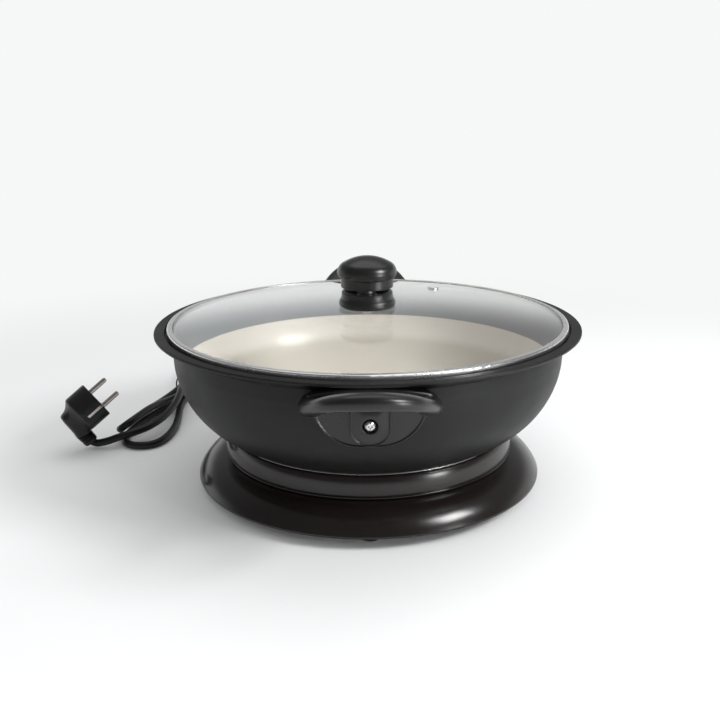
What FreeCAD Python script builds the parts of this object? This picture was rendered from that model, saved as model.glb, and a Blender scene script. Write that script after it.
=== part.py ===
import FreeCAD, Part
import math
import os
import Sketcher

# Electric wok with a lift-off glass lid, two moulded loop handles and a plug-in controller.
# Millimetres. +Z is up, the origin is on the table under the middle of the pan,
# -Y is the front handle and +Y the rear handle with the controller under it.

doc = FreeCAD.newDocument("electric_wok")
Vec = FreeCAD.Vector
TOP = Vec(0, 0, 1)

# Driving dimensions: name, value or formula, what it is
DIMENSIONS = (
    ("rim_radius", 180.0, "outer edge of the pan's rim"),
    ("rim_height", 140.5, "top of the rim above the table"),
    ("rim_lip", 2.6, "thickness of the rim's lip"),
    ("ledge_depth", 3.2, "lid ledge below the rim top"),
    ("ledge_radius", "=rim_radius - 8.4", "outer wall of the lid ledge"),
    ("pan_wall", 3.5, "thickness of the cast wall"),
    ("belly_radius", "=rim_radius - 14.7", "widest outside radius of the bowl"),
    ("belly_height", 120.0, "height of the bowl's widest place"),
    ("bowl_arc", 77.0, "outside radius of the curved wall"),
    ("heater_radius", "=belly_radius - bowl_arc - channel_half - 0.3", "radius of the heater's ring"),
    ("heater_drop", 3.7, "heater's centre below the pan's underside"),
    ("heater_tube", 3.5, "radius of the heater's sheath"),
    ("heater_bend", 12.0, "bend radius where the heater turns out"),
    ("channel_half", 8.0, "half width of the cast channel"),
    ("channel_depth", 8.4, "depth of the cast channel"),
    ("block_half", 36.0, "half width of the cast terminal block"),
    ("block_face", "=belly_radius - 51.3", "distance of the terminal block's face from the axis"),
    ("pin_half", 14.0, "half the distance between the terminal pins"),
    ("pin_radius", 2.4, "radius of a terminal pin"),
    ("pin_end", "=block_face + 22.0", "distance of the pins' tips from the axis"),
    ("bead_radius", 5.0, "radius of the ceramic beads"),
    ("bead_length", 5.0, "length of the ceramic beads"),
    ("guard_half", 29.0, "half width of the terminal guard"),
    ("guard_rise", 7.9, "half height of the terminal guard"),
    ("guard_wall", 1.4, "sheet of the terminal guard"),
    ("guard_end", "=block_face + 24.6", "distance of the guard's mouth from the axis"),
    ("fit_gap", 0.05, "clearance of seats and running fits"),
    ("air_gap", 0.4, "clearance between loose neighbours"),
    ("post_circle", "=collar_top_radius - 20.6", "radius of the circle of posts"),
    ("post_radius", 6.5, "radius of a post"),
    ("web_inner", 60.0, "hole in the middle of the base"),
    ("web_thick", 2.6, "thickness of the base mouldings"),
    ("collar_lip_radius", "=collar_top_radius + 4.0", "radius of the collar's lower bead"),
    ("collar_lip_height", 31.2, "height of the collar's lower bead"),
    ("collar_top_radius", "=belly_radius - 44.7", "radius of the collar's upper edge"),
    ("skirt_shoulder", "=collar_lip_radius - 2.1", "where the skirt starts to curve"),
    ("skirt_height", 29.4, "top of the skirt above the table"),
    ("skirt_radius", "=collar_lip_radius + 25.0", "outer radius of the skirt"),
    ("skirt_edge", 11.6, "height where the skirt's curve ends"),
    ("skirt_rim", 1.6, "straight rim under the skirt's curve"),
    ("skirt_arc", 30.0, "radius of the skirt's curve"),
    ("notch_half", 37.0, "half width of the collar's notch for the guard"),
    ("foot_circle", "=skirt_radius - 24.1", "radius of the circle of feet"),
    ("foot_radius", 9.5, "radius of a foot"),
    ("foot_height", 12.0, "height of a foot's top"),
    ("foot_taper", 1.0, "how much a foot narrows to its sole"),
    ("screw_radius", 2.0, "shank radius of the screws"),
    ("screw_head", 3.9, "head radius of the screws"),
    ("screw_head_high", 2.4, "head height of the screws"),
    ("handle_reach", "=rim_radius + 59.5", "handle's outermost point from the axis"),
    ("handle_curve", 41.0, "radius of the handle's outer curve"),
    ("handle_bar", 12.5, "width of the grip bar"),
    ("handle_arm", 10.0, "width of the handle's arms"),
    ("handle_thick", 12.0, "height of the grip"),
    ("handle_root_half", 47.5, "half width at the handle's root"),
    ("handle_root", "=belly_radius + 0.7", "where the grip meets the wall"),
    ("handle_root_top", 132.0, "height of the grip's top at the wall"),
    ("handle_crest_top", 156.5, "height of the grip's top at its crest"),
    ("handle_sweep", 230.0, "radius of the grip's rise"),
    ("handle_round", 4.5, "rounding of the grip"),
    ("hole_root", "=belly_radius + 12.2", "inner edge of the finger hole"),
    ("plate_thick", 4.0, "thickness of the handle's shield plate"),
    ("plate_bottom", 88.6, "lower end of the shield plate"),
    ("plate_shoulder", 115.6, "where the shield plate starts to narrow"),
    ("plate_half", 39.5, "half width of the shield plate"),
    ("plate_toe", 18.0, "half width of the shield's lower end"),
    ("plate_top", 137.2, "upper end of the shield plate"),
    ("pad_thick", 6.8, "thickness of the screw pad"),
    ("pad_half", 14.6, "half width of the screw pad"),
    ("screw_height", 108.0, "height of the handle screws"),
    ("handle_recess", 5.5, "radius of the recess round the handle screw"),
    ("boss_radius", 6.5, "radius of the cast handle boss"),
    ("boss_out", "=belly_radius + 4.1", "outer face of the cast handle boss"),
    ("glass_radius", "=rim_radius - 13.0", "radius of the glass"),
    ("glass_edge", 138.8, "height of the glass's underside at its edge"),
    ("glass_crown", 150.2, "height of the glass's underside at its middle"),
    ("glass_thick", 4.0, "thickness of the glass"),
    ("band_radius", "=rim_radius - 10.6", "outer radius of the lid's steel band"),
    ("band_lap", 4.6, "how far the band laps over the glass"),
    ("band_sheet", 0.9, "sheet of the steel band"),
    ("vent_across", 64.0, "vent's place to the right of the middle"),
    ("vent_back", 92.0, "vent's place behind the middle"),
    ("vent_radius", 3.2, "radius of the vent's barrel"),
    ("vent_flange", 5.6, "radius of the vent's flange"),
    ("collar_foot_radius", 23.2, "radius of the knob collar's foot"),
    ("collar_flare", 24.2, "widest radius of the knob collar"),
    ("collar_neck", 21.8, "upper radius of the knob collar"),
    ("collar_high", 13.0, "height of the knob collar"),
    ("collar_dish", 5.0, "depth of the dish in the knob collar"),
    ("stem_radius", 7.2, "radius of the metal stem"),
    ("stem_gap", 3.4, "gap between knob collar and cap"),
    ("cap_neck", 22.3, "radius of the cap's lower part"),
    ("cap_neck_high", 7.6, "height of the cap's lower part"),
    ("cap_radius", 25.3, "widest radius of the cap"),
    ("cap_high", 26.4, "height of the cap"),
    ("knob_bore", 2.6, "radius of the hole through glass and collar"),
    ("knob_bolt", 2.5, "radius of the knob's screw"),
    ("pad_radius", 11.0, "radius of the silicone washer"),
    ("case_half", 30.0, "half width of the controller"),
    ("case_front", "=guard_end + 0.4", "front of the controller from the axis"),
    ("case_back", "=case_front + 75.0", "back of the controller from the axis"),
    ("case_bottom", 27.4, "underside of the controller"),
    ("case_split", 43.0, "height of the controller's parting line"),
    ("case_top", 58.5, "top of the controller"),
    ("case_wall", 2.2, "wall of the controller's shells"),
    ("case_corner", 12.0, "corner radius of the controller"),
    ("dial_back", "=case_front + 44.0", "dial's axis from the pan's axis"),
    ("dial_radius", 20.0, "radius of the dial"),
    ("dial_high", 11.0, "height of the dial"),
    ("dial_bore", 4.0, "radius of the dial's hole in the cover"),
    ("probe_radius", 3.0, "radius of the temperature probe"),
    ("probe_tip", "=block_face - 60.0", "distance of the probe's tip from the axis"),
    ("sleeve_wall", 1.0, "wall of the contact sleeves"),
    ("lamp_back", "=case_front + 13.0", "pilot lamp's place from the axis"),
    ("lamp_radius", 3.5, "radius of the pilot lamp's lens"),
    ("cord_radius", 3.65, "radius of the cord"),
    ("relief_length", 20.0, "length of the controller's strain relief"),
    ("cord_exit_height", 37.0, "height of the cord where it leaves the controller"),
    ("plug_radius", 19.0, "radius of the plug's face"),
    ("plug_depth", 22.0, "depth of the plug's round part"),
    ("plug_pin_radius", 2.4, "radius of a plug pin"),
    ("plug_pin_length", 19.0, "length of a plug pin"),
    ("plug_pin_spacing", 19.0, "distance between the plug's pins"),
)

sheet = doc.addObject("Spreadsheet::Sheet", "Sizes")


class Tied:
    """A number together with the expression that ties it to the sheet."""

    def __init__(self, number, text):
        self.number = float(number)
        self.text = text

    def __add__(self, other):
        other = tied(other)
        return Tied(self.number + other.number, f"({self.text} + {other.text})")

    def __sub__(self, other):
        other = tied(other)
        return Tied(self.number - other.number, f"({self.text} - {other.text})")

    def __mul__(self, other):
        other = tied(other)
        return Tied(self.number * other.number, f"({self.text} * {other.text})")

    def __truediv__(self, other):
        other = tied(other)
        return Tied(self.number / other.number, f"({self.text} / {other.text})")

    def __rsub__(self, other):
        return tied(other) - self

    def __neg__(self):
        return tied(0.0) - self

    __radd__ = __add__
    __rmul__ = __mul__


def tied(value):
    return value if isinstance(value, Tied) else Tied(value, f"{float(value):.6f}")


def root(value):
    return Tied(math.sqrt(value.number), f"sqrt({value.text})")


class Sizes:
    """One attribute for each row of the sheet."""


s = Sizes()
for row, (name, value, note) in enumerate(DIMENSIONS, start=1):
    sheet.set(f"A{row}", name)
    sheet.setAlias(f"B{row}", name)
    sheet.set(f"C{row}", note)
for row, (name, value, note) in enumerate(DIMENSIONS, start=1):
    sheet.set(f"B{row}", str(value))
doc.recompute()
for name, value, note in DIMENSIONS:
    setattr(s, name, Tied(sheet.get(name), f"Sizes.{name}"))

made = []


# Sketches

def arc_between(start, end, side, radius):
    """Short arc from start to end; side says on which hand its centre lies."""
    chord = end - start
    across = Vec(-chord.y, chord.x, 0).normalize()
    if side == "right":
        across = across * -1.0
    rise = math.sqrt(max(radius * radius - chord.Length * chord.Length / 4.0, 0.0))
    centre = (start + end) * 0.5 + across * rise
    first, last = (start, end) if side == "left" else (end, start)
    low = math.atan2(first.y - centre.y, first.x - centre.x)
    high = math.atan2(last.y - centre.y, last.x - centre.x)
    if high <= low:
        high += 2.0 * math.pi
    return Part.ArcOfCircle(Part.Circle(centre, TOP, radius), low, high)


def tie(sketch, kind, references, value):
    """Add a constraint and bind it to the sheet when its value comes from there."""
    value = tied(value)
    index = sketch.addConstraint(Sketcher.Constraint(kind, *references, value.number))
    if "Sizes." in value.text:
        sketch.setExpression(f"Constraints[{index}]", value.text)


def tie_point(sketch, edge, end, across, up):
    """Hold one point of an edge at a place measured from the sketch's origin."""
    for value, kind, axis in ((across, "DistanceX", -2), (up, "DistanceY", -1)):
        if not isinstance(value, Tied) and value == 0:
            sketch.addConstraint(Sketcher.Constraint("PointOnObject", edge, end, axis))
        else:
            tie(sketch, kind, (-1, 1, edge, end), value)


def add_outline(sketch, corners):
    """Closed outline; a corner is (across, up) or (across, up, side, radius) where an arc starts."""
    first = sketch.GeometryCount
    places = [Vec(tied(c[0]).number, tied(c[1]).number, 0) for c in corners]
    ends = []
    for index, corner in enumerate(corners):
        here = places[index]
        there = places[(index + 1) % len(corners)]
        if len(corner) == 2:
            sketch.addGeometry(Part.LineSegment(here, there), False)
            ends.append((1, 2))
        else:
            radius = tied(corner[3]).number
            sketch.addGeometry(arc_between(here, there, corner[2], radius), False)
            ends.append((1, 2) if corner[2] == "left" else (2, 1))
    for index, corner in enumerate(corners):
        after = (index + 1) % len(corners)
        link = (first + index, ends[index][1], first + after, ends[after][0])
        sketch.addConstraint(Sketcher.Constraint("Coincident", *link))
        tie_point(sketch, first + index, ends[index][0], corner[0], corner[1])
        if len(corner) == 4:
            tie(sketch, "Radius", (first + index,), corner[3])


def add_circle(sketch, across, up, radius):
    place = Vec(tied(across).number, tied(up).number, 0)
    edge = sketch.addGeometry(Part.Circle(place, TOP, tied(radius).number), False)
    tie_point(sketch, edge, 3, across, up)
    tie(sketch, "Radius", (edge,), radius)


def box_corners(low_x, low_y, high_x, high_y):
    return [(low_x, low_y), (high_x, low_y), (high_x, high_y), (low_x, high_y)]


def rounded_corners(half, low, high, radius):
    """Rectangle from -half to half and low to high with round corners."""
    return [
        (-half + radius, low), (half - radius, low, "left", radius),
        (half, low + radius), (half, high - radius, "left", radius),
        (half - radius, high), (-half + radius, high, "left", radius),
        (-half, high - radius), (-half, low + radius, "left", radius),
    ]


# Bodies and features

def new_body(label):
    body = doc.addObject("PartDesign::Body", label)
    body.Label = label
    return body


def body_sketch(body, role, offset=None):
    """Sketch on one of the body's own origin planes, moved along its normal by offset."""
    sketch = body.newObject("Sketcher::SketchObject", body.Name + "_sketch")
    plane = [f for f in body.Origin.OriginFeatures if f.Role == role][0]
    sketch.AttachmentSupport = (plane, [""])
    sketch.MapMode = "FlatFace"
    if offset is not None:
        offset = tied(offset)
        sketch.AttachmentOffset = FreeCAD.Placement(Vec(0, 0, offset.number), FreeCAD.Rotation())
        sketch.setExpression("AttachmentOffset.Base.z", offset.text)
    return sketch


def feature(body, kind, sketch, **settings):
    item = body.newObject("PartDesign::" + kind, body.Name + "_" + kind.lower())
    item.Profile = sketch
    for name, value in settings.items():
        if isinstance(value, Tied):
            setattr(item, name, value.number)
            item.setExpression(name, value.text)
        else:
            setattr(item, name, value)
    sketch.Visibility = False
    body.Tip = item
    return item


def turned(label, *outlines):
    """A body turned about the Z axis from outlines of (radius, height)."""
    body = new_body(label)
    for outline in outlines:
        sketch = body_sketch(body, "XZ_Plane")
        add_outline(sketch, outline)
        feature(body, "Revolution", sketch, ReferenceAxis=(sketch, ["V_Axis"]), Angle=360.0)
    return body


def groove(body, outline):
    sketch = body_sketch(body, "XZ_Plane")
    add_outline(sketch, outline)
    return feature(body, "Groove", sketch, ReferenceAxis=(sketch, ["V_Axis"]), Angle=360.0)


def pad(body, role, outline, offset, length, flip=False, circles=()):
    sketch = body_sketch(body, role, offset)
    if outline:
        add_outline(sketch, outline)
    for across, up, radius in circles:
        add_circle(sketch, across, up, radius)
    return feature(body, "Pad", sketch, Length=tied(length), Reversed=flip)


def pocket(body, role, outline, offset, length, flip=False, circles=()):
    sketch = body_sketch(body, role, offset)
    if outline:
        add_outline(sketch, outline)
    for across, up, radius in circles:
        add_circle(sketch, across, up, radius)
    return feature(body, "Pocket", sketch, Length=tied(length), Reversed=flip)


def polar(body, item, count, angle=360.0):
    """Repeat a feature about the Z axis."""
    pattern = body.newObject("PartDesign::PolarPattern", body.Name + "_polar")
    pattern.Originals = [item]
    axis = [f for f in body.Origin.OriginFeatures if f.Role == "Z_Axis"][0]
    pattern.Axis = (axis, [""])
    pattern.Angle = angle
    pattern.Occurrences = count
    body.Tip = pattern
    return pattern


def keep(item, label):
    """Name a finished sub-part."""
    item.Label = label
    made.append((label, item))
    return item


def boolean(kind, label, base, *tools):
    """Part boolean of finished shapes: Cut, MultiFuse or MultiCommon."""
    item = doc.addObject("Part::" + kind, label)
    if kind == "Cut":
        item.Base = base
        item.Tool = tools[0]
    else:
        item.Shapes = [base, *tools]
    item.Refine = True
    return item


def solid_feature(label, shape):
    """A shape that Part's own functions make from the sheet's values."""
    item = doc.addObject("Part::Feature", label)
    item.Shape = shape
    return item


def placed_copies(label, body, places):
    """Identical pieces: one solid of the body at each place."""
    doc.recompute()
    copies = []
    for place in places:
        copy = body.Shape.copy()
        copy.Placement = place.multiply(copy.Placement)
        copies.append(copy)
    return solid_feature(label, Part.makeCompound(copies))


def about_axis(count, start):
    return [
        FreeCAD.Placement(Vec(), FreeCAD.Rotation(TOP, start + 360.0 * index / count))
        for index in range(count)
    ]


# Heights and radii that several pieces share
bowl_centre = s.belly_radius - s.bowl_arc
underside = s.belly_height - s.bowl_arc
inner_arc = s.bowl_arc - s.pan_wall
ledge = s.rim_height - s.ledge_depth
heater_height = underside - s.heater_drop
web_top = s.skirt_height + 0.3 + s.web_thick


def wall_height(radius, arc=s.bowl_arc):
    """Height of the curved wall at a radius."""
    reach = radius - bowl_centre
    return s.belly_height - root(arc * arc - reach * reach)


def wall_radius(height, arc=s.bowl_arc):
    """Radius of the curved wall at a height."""
    drop = s.belly_height - height
    return bowl_centre + root(arc * arc - drop * drop)


# Pan: cast wall with rim, lid ledge and heater channel

def pan_outside(gap):
    """Outside of the pan from below the screw pad to the rim, moved out by gap."""
    low = s.plate_bottom - 8.0
    return [
        (0, low), (wall_radius(low, s.bowl_arc + gap), low, "left", s.bowl_arc + gap),
        (s.belly_radius + gap, s.belly_height), (s.belly_radius + gap, ledge - 6.6),
        (s.ledge_radius + 1.6 + gap, ledge - 0.3 - gap), (s.rim_radius + 4.0, ledge - 0.3 - gap),
        (s.rim_radius + 4.0, s.rim_height + 4.0), (0, s.rim_height + 4.0),
    ]


channel_low = underside - s.channel_depth
casting = turned("pan_casting", [
    (0, underside + s.pan_wall), (bowl_centre, underside + s.pan_wall, "left", inner_arc),
    (bowl_centre + inner_arc, s.belly_height), (bowl_centre + inner_arc, ledge - 1.6),
    (bowl_centre + inner_arc + 1.6, ledge), (s.ledge_radius, ledge),
    (s.ledge_radius, s.rim_height - 0.6), (s.ledge_radius + 0.6, s.rim_height),
    (s.rim_radius - 1.0, s.rim_height, "right", 1.0), (s.rim_radius, s.rim_height - 1.0),
    (s.rim_radius, s.rim_height - s.rim_lip + 0.8), (s.rim_radius - 0.8, s.rim_height - s.rim_lip),
    (s.ledge_radius + 2.4, ledge - 0.2), (s.ledge_radius + 1.4, ledge - 0.6),
    (s.belly_radius, ledge - 6.6), (s.belly_radius, s.belly_height, "right", s.bowl_arc),
    (bowl_centre, underside), (s.heater_radius + s.channel_half, underside),
    (s.heater_radius + s.channel_half - 1.0, channel_low),
    (s.heater_radius - s.channel_half + 1.0, channel_low),
    (s.heater_radius - s.channel_half, underside), (0, underside),
])
pad(casting, "XZ_Plane",
    box_corners(-s.block_half, channel_low, s.block_half, wall_height(s.block_face) + 1.0),
    -s.block_face, s.block_face - 46.0)
post = pad(casting, "XY_Plane", None, web_top, wall_height(s.post_circle) - web_top + 1.5,
           circles=[(s.post_circle * math.sqrt(0.5), s.post_circle * math.sqrt(0.5), s.post_radius)])
polar(casting, post, 4)
post_hole = pocket(casting, "XY_Plane", None, web_top, 9.0, flip=True,
                   circles=[(s.post_circle * math.sqrt(0.5), s.post_circle * math.sqrt(0.5),
                             s.screw_radius + s.fit_gap)])
polar(casting, post_hole, 4)
for front in (False, True):
    turn = -1.0 if front else 1.0
    inside = bowl_centre + inner_arc - 3.0
    pad(casting, "XZ_Plane", None, s.boss_out * -turn, s.boss_out - inside + 0.5, flip=front,
        circles=[(0, s.screw_height, s.boss_radius)])
    pocket(casting, "XZ_Plane", None, s.boss_out * -turn, 6.4, flip=not front,
           circles=[(0, s.screw_height, s.screw_radius + s.fit_gap)])
groove(casting, [
    (0, underside + s.pan_wall), (bowl_centre, underside + s.pan_wall, "left", inner_arc),
    (bowl_centre + inner_arc, s.belly_height), (0, s.belly_height),
])
for across in (-s.guard_half + 5.0, s.guard_half - 5.0):
    pocket(casting, "XZ_Plane", None, -s.block_face, 9.0, flip=True,
           circles=[(across, heater_height, s.screw_radius + s.fit_gap)])
pocket(casting, "XZ_Plane", None, -s.block_face, s.block_face - s.probe_tip + 2.0, flip=True,
       circles=[(0, heater_height, s.probe_radius + s.fit_gap)])


# Heater: one open ring whose ends turn out to the back

def heater_wire():
    """Line down one leg, bend, ring, bend, line up the other leg."""
    ring, bend = s.heater_radius.number, s.heater_bend.number
    leg, face = s.pin_half.number, s.block_face.number
    middle_x = leg + bend
    middle_y = math.sqrt((ring + bend) ** 2 - middle_x ** 2)
    touch = ring / (ring + bend)
    towards = Vec(-middle_x, -middle_y, 0).normalize()
    outward = (Vec(-1, 0, 0) + towards).normalize()
    height = heater_height.number

    def at(x, y):
        return Vec(x, y, height)

    def bend_middle(side):
        return at(side * (middle_x + outward.x * bend), middle_y + outward.y * bend)

    return Part.Wire([
        Part.LineSegment(at(leg, face + 2.0), at(leg, middle_y)).toShape(),
        Part.Arc(at(leg, middle_y), bend_middle(1), at(middle_x * touch, middle_y * touch)).toShape(),
        Part.Arc(at(middle_x * touch, middle_y * touch), at(0, -ring),
                 at(-middle_x * touch, middle_y * touch)).toShape(),
        Part.Arc(at(-middle_x * touch, middle_y * touch), bend_middle(-1), at(-leg, middle_y)).toShape(),
        Part.LineSegment(at(-leg, middle_y), at(-leg, face + 2.0)).toShape(),
    ])


def tube_along(wire, radius):
    """Round tube along a wire, swept as a solid from a circle square to its start."""
    edge = wire.OrderedEdges[0]
    start = wire.OrderedVertexes[0].Point
    along = edge.tangentAt(edge.FirstParameter)
    if (edge.valueAt(edge.FirstParameter) - start).Length > 1e-6:
        along = edge.tangentAt(edge.LastParameter) * -1.0
    circle = Part.Wire(Part.makeCircle(radius, start, along))
    return wire.makePipeShell([circle], True, False)


heater = solid_feature("heating_element", tube_along(heater_wire(), s.heater_tube.number))
keep(heater, "heating_element")
cavity = solid_feature("heater_cavity", tube_along(heater_wire(), s.heater_tube.number + s.fit_gap.number))
keep(boolean("Cut", "pan_body", casting, cavity), "pan_body")


# Terminal pins, their beads and the guard round them

def pair_solids(label, radius, low, high, hole=None):
    """Two turned pieces along Y at the pins' spacing."""
    body = new_body(label + "_single")
    pad(body, "XZ_Plane", None, -high, high - low, False, [(0, heater_height, radius)])
    if hole is not None:
        pocket(body, "XZ_Plane", None, -high, high - low, True, [(0, heater_height, hole)])
    sides = (-s.pin_half.number, s.pin_half.number)
    places = [FreeCAD.Placement(Vec(x, 0, 0), FreeCAD.Rotation()) for x in sides]
    return keep(placed_copies(label, body, places), label)


heater_end = s.block_face + 2.0
pair_solids("terminal_insulators", s.bead_radius, heater_end, heater_end + s.bead_length,
            s.pin_radius + s.fit_gap)
pair_solids("terminal_pins", s.pin_radius, heater_end, s.pin_end)

guard = new_body("terminal_guard")
pad(guard, "XZ_Plane",
    rounded_corners(s.guard_half, heater_height - s.guard_rise, heater_height + s.guard_rise, tied(3.0)),
    -s.guard_end, s.guard_end - s.block_face)
pocket(guard, "XZ_Plane",
       rounded_corners(s.guard_half - s.guard_wall, heater_height - s.guard_rise + s.guard_wall,
                       heater_height + s.guard_rise - s.guard_wall, tied(2.0)),
       -s.guard_end, s.guard_end - s.block_face - s.guard_wall, True)
pocket(guard, "XZ_Plane", None, -s.guard_end, s.guard_end - s.block_face + 1.0, True, [
    (-s.pin_half, heater_height, s.bead_radius + s.air_gap),
    (s.pin_half, heater_height, s.bead_radius + s.air_gap),
    (0, heater_height, s.probe_radius + s.air_gap),
    (-s.guard_half + 5.0, heater_height, s.screw_radius + s.fit_gap),
    (s.guard_half - 5.0, heater_height, s.screw_radius + s.fit_gap),
])
keep(guard, "terminal_guard")


# Screws: turned once along Z, then put where they belong

def screw_body(label, length, head=s.screw_head, radius=s.screw_radius, high=s.screw_head_high):
    """Pan-head screw whose head sits on the plane z = 0 and whose shank runs down."""
    body = turned(label, [
        (0, -length), (radius - 0.4, -length), (radius, -length + 0.4), (radius, 0), (head, 0),
        (head, high * 0.4), (head * 0.6, high), (0, high),
    ])
    slot = 0.5
    depth = high * 0.55
    for across in (True, False):
        wide, deep = (head * 0.45, tied(slot)) if across else (tied(slot), head * 0.45)
        pocket(body, "XY_Plane", box_corners(-wide, -deep, wide, deep), high, depth)
    return body


def facing(point, direction):
    """Placement that turns +Z to a direction and moves the origin to a point."""
    return FreeCAD.Placement(Vec(*point), FreeCAD.Rotation(TOP, Vec(*direction)))


guard_screw = screw_body("guard_screw_single", 7.5, head=s.screw_head - 0.8)
inner_wall = s.block_face.number + s.guard_wall.number
keep(placed_copies("guard_screws", guard_screw, [
    facing((side * (s.guard_half.number - 5.0), inner_wall, heater_height.number), (0, 1, 0))
    for side in (-1, 1)
]), "guard_screws")


# Base: glossy collar under the pan and glossy skirt under the collar

def collar_side(height):
    """Outer radius of the collar's band at a height between its bead and its top."""
    share = (height - s.collar_lip_height) / (tied(48.8) - s.collar_lip_height)
    return s.collar_lip_radius - 0.6 - share * (s.collar_lip_radius - s.collar_top_radius - 0.6)


collar_low = s.skirt_height + 0.3
collar_crown = wall_height(s.collar_top_radius) - 0.6
collar_inner_top = s.collar_top_radius - 2.4
collar = turned("base_collar", [
    (s.web_inner, collar_low), (s.skirt_shoulder - 0.5, collar_low),
    (s.collar_lip_radius - 0.2, collar_low + 0.4),
    (s.collar_lip_radius + 0.4, s.collar_lip_height, "left", 0.9),
    (s.collar_lip_radius - 0.6, s.collar_lip_height + 1.1, "left", 60.0),
    (s.collar_top_radius + 0.3, collar_crown - 1.0, "left", 0.9),
    (s.collar_top_radius - 0.6, collar_crown), (collar_inner_top, wall_height(collar_inner_top) - 0.6),
    (collar_inner_top - 0.2, collar_crown - 3.2), (s.collar_lip_radius - 3.4, web_top),
    (s.web_inner, web_top),
])
pocket(collar, "XY_Plane", box_corners(-s.notch_half, s.web_inner + 34.0, s.notch_half, s.skirt_radius),
       collar_low - 1.0, 30.0, True)
hole = pocket(collar, "XY_Plane", None, collar_low - 1.0, 10.0, True, [
    (s.post_circle * math.sqrt(0.5), s.post_circle * math.sqrt(0.5), s.screw_radius + s.air_gap)])
polar(collar, hole, 4)
keep(collar, "base_collar")

skirt_bottom = s.skirt_edge - s.skirt_rim
skirt_inner = s.skirt_arc - s.web_thick
skirt_shell = turned("skirt_shell", [
    (s.web_inner, s.skirt_height), (s.web_inner, s.skirt_height - s.web_thick),
    (s.skirt_shoulder, s.skirt_height - s.web_thick, "right", skirt_inner),
    (s.skirt_radius - s.web_thick, s.skirt_edge), (s.skirt_radius - s.web_thick, skirt_bottom),
    (s.skirt_radius, skirt_bottom), (s.skirt_radius, s.skirt_edge, "left", s.skirt_arc),
    (s.skirt_shoulder, s.skirt_height),
])
pocket_hole = pocket(skirt_shell, "XY_Plane", None, s.skirt_height + 1.0, 10.0, False, [
    (s.post_circle * math.sqrt(0.5), s.post_circle * math.sqrt(0.5), s.screw_radius + s.air_gap)])
polar(skirt_shell, pocket_hole, 4)
skirt_fill = turned("skirt_fill", [
    (s.web_inner, s.skirt_height - 0.5), (s.web_inner, skirt_bottom),
    (s.skirt_radius - 1.0, skirt_bottom), (s.skirt_radius - 1.0, s.skirt_edge, "left", s.skirt_arc),
    (s.skirt_shoulder - 1.0, s.skirt_height - 0.5),
])
posts = new_body("skirt_posts")
foot_post = pad(posts, "XY_Plane", None, s.foot_height, 30.0, False, [(s.foot_circle, 0, s.foot_radius)])
polar(posts, foot_post, 4)
ribs = new_body("skirt_ribs")
rib = pad(ribs, "XY_Plane", box_corners(s.post_circle + 12.0, -1.0, s.skirt_radius - 4.0, 1.0),
          skirt_bottom + 4.0, 30.0)
polar(ribs, rib, 16)
stiff = boolean("MultiFuse", "skirt_stiffeners", posts, ribs)
inside_skirt = boolean("MultiCommon", "skirt_inside", skirt_fill, stiff)
skirt_whole = boolean("MultiFuse", "skirt_whole", skirt_shell, inside_skirt)
foot_bores = new_body("foot_bores")
bore = pad(foot_bores, "XY_Plane", None, s.foot_height - 4.0, 14.0, False,
           [(s.foot_circle, 0, s.screw_radius + s.fit_gap)])
polar(foot_bores, bore, 4)
foot_seats = new_body("foot_seats")
seat = pad(foot_seats, "XY_Plane", None, skirt_bottom - 4.0, s.foot_height - skirt_bottom + 4.0, False,
           [(s.foot_circle, 0, s.foot_radius + s.air_gap)])
polar(foot_seats, seat, 4)
foot_cuts = boolean("MultiFuse", "foot_cuts", foot_bores, foot_seats)
keep(boolean("Cut", "base_skirt", skirt_whole, foot_cuts), "base_skirt")

base_screw = screw_body("base_screw_single", 12.0)
screw_down = s.skirt_height.number - s.web_thick.number
diagonal = s.post_circle.number * math.sqrt(0.5)
keep(placed_copies("base_screws", base_screw, [
    facing((x * diagonal, y * diagonal, screw_down), (0, 0, -1)) for x in (-1, 1) for y in (-1, 1)
]), "base_screws")

foot = turned("foot_single", [
    (s.screw_head + 0.6, 0), (s.foot_radius - s.foot_taper - 0.8, 0, "left", 0.9),
    (s.foot_radius - s.foot_taper, 0.8), (s.foot_radius, s.foot_height),
    (s.screw_radius + 0.1, s.foot_height),
    (s.screw_radius + 0.1, s.foot_height - 5.0), (s.screw_head + 0.6, s.foot_height - 5.0),
])
foot_places = [
    place.multiply(FreeCAD.Placement(Vec(s.foot_circle.number, 0, 0), FreeCAD.Rotation()))
    for place in about_axis(4, 0.0)
]
keep(placed_copies("feet", foot, foot_places), "feet")
foot_screw = screw_body("foot_screw_single", 11.0)
turned_over = facing((0, 0, s.foot_height.number - 5.0), (0, 0, -1))
keep(placed_copies("foot_screws", foot_screw, [p.multiply(turned_over) for p in foot_places]), "foot_screws")


# Handles: a loop that rises away from the pan, a shield plate on its wall and a pad for the screw

PLANES = {
    "XY": FreeCAD.Rotation(),
    "XZ": FreeCAD.Rotation(Vec(1, 0, 0), 90),
    "YZ": FreeCAD.Rotation(Vec(1, 1, 1), 120),
}


def free_sketch(label, plane, outline):
    sketch = doc.addObject("Sketcher::SketchObject", label)
    sketch.Placement = FreeCAD.Placement(Vec(), PLANES[plane])
    add_outline(sketch, outline)
    return sketch


def extruded(label, plane, outline, direction, forward, backward=0.0):
    """Solid extruded from a sketch both ways along a direction."""
    item = doc.addObject("Part::Extrusion", label)
    item.Base = free_sketch(label + "_sketch", plane, outline)
    item.DirMode = "Custom"
    item.Dir = direction
    item.Solid = True
    for name, value in (("LengthFwd", tied(forward)), ("LengthRev", tied(backward))):
        setattr(item, name, value.number)
        if "Sizes." in value.text:
            item.setExpression(name, value.text)
    return item


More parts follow.
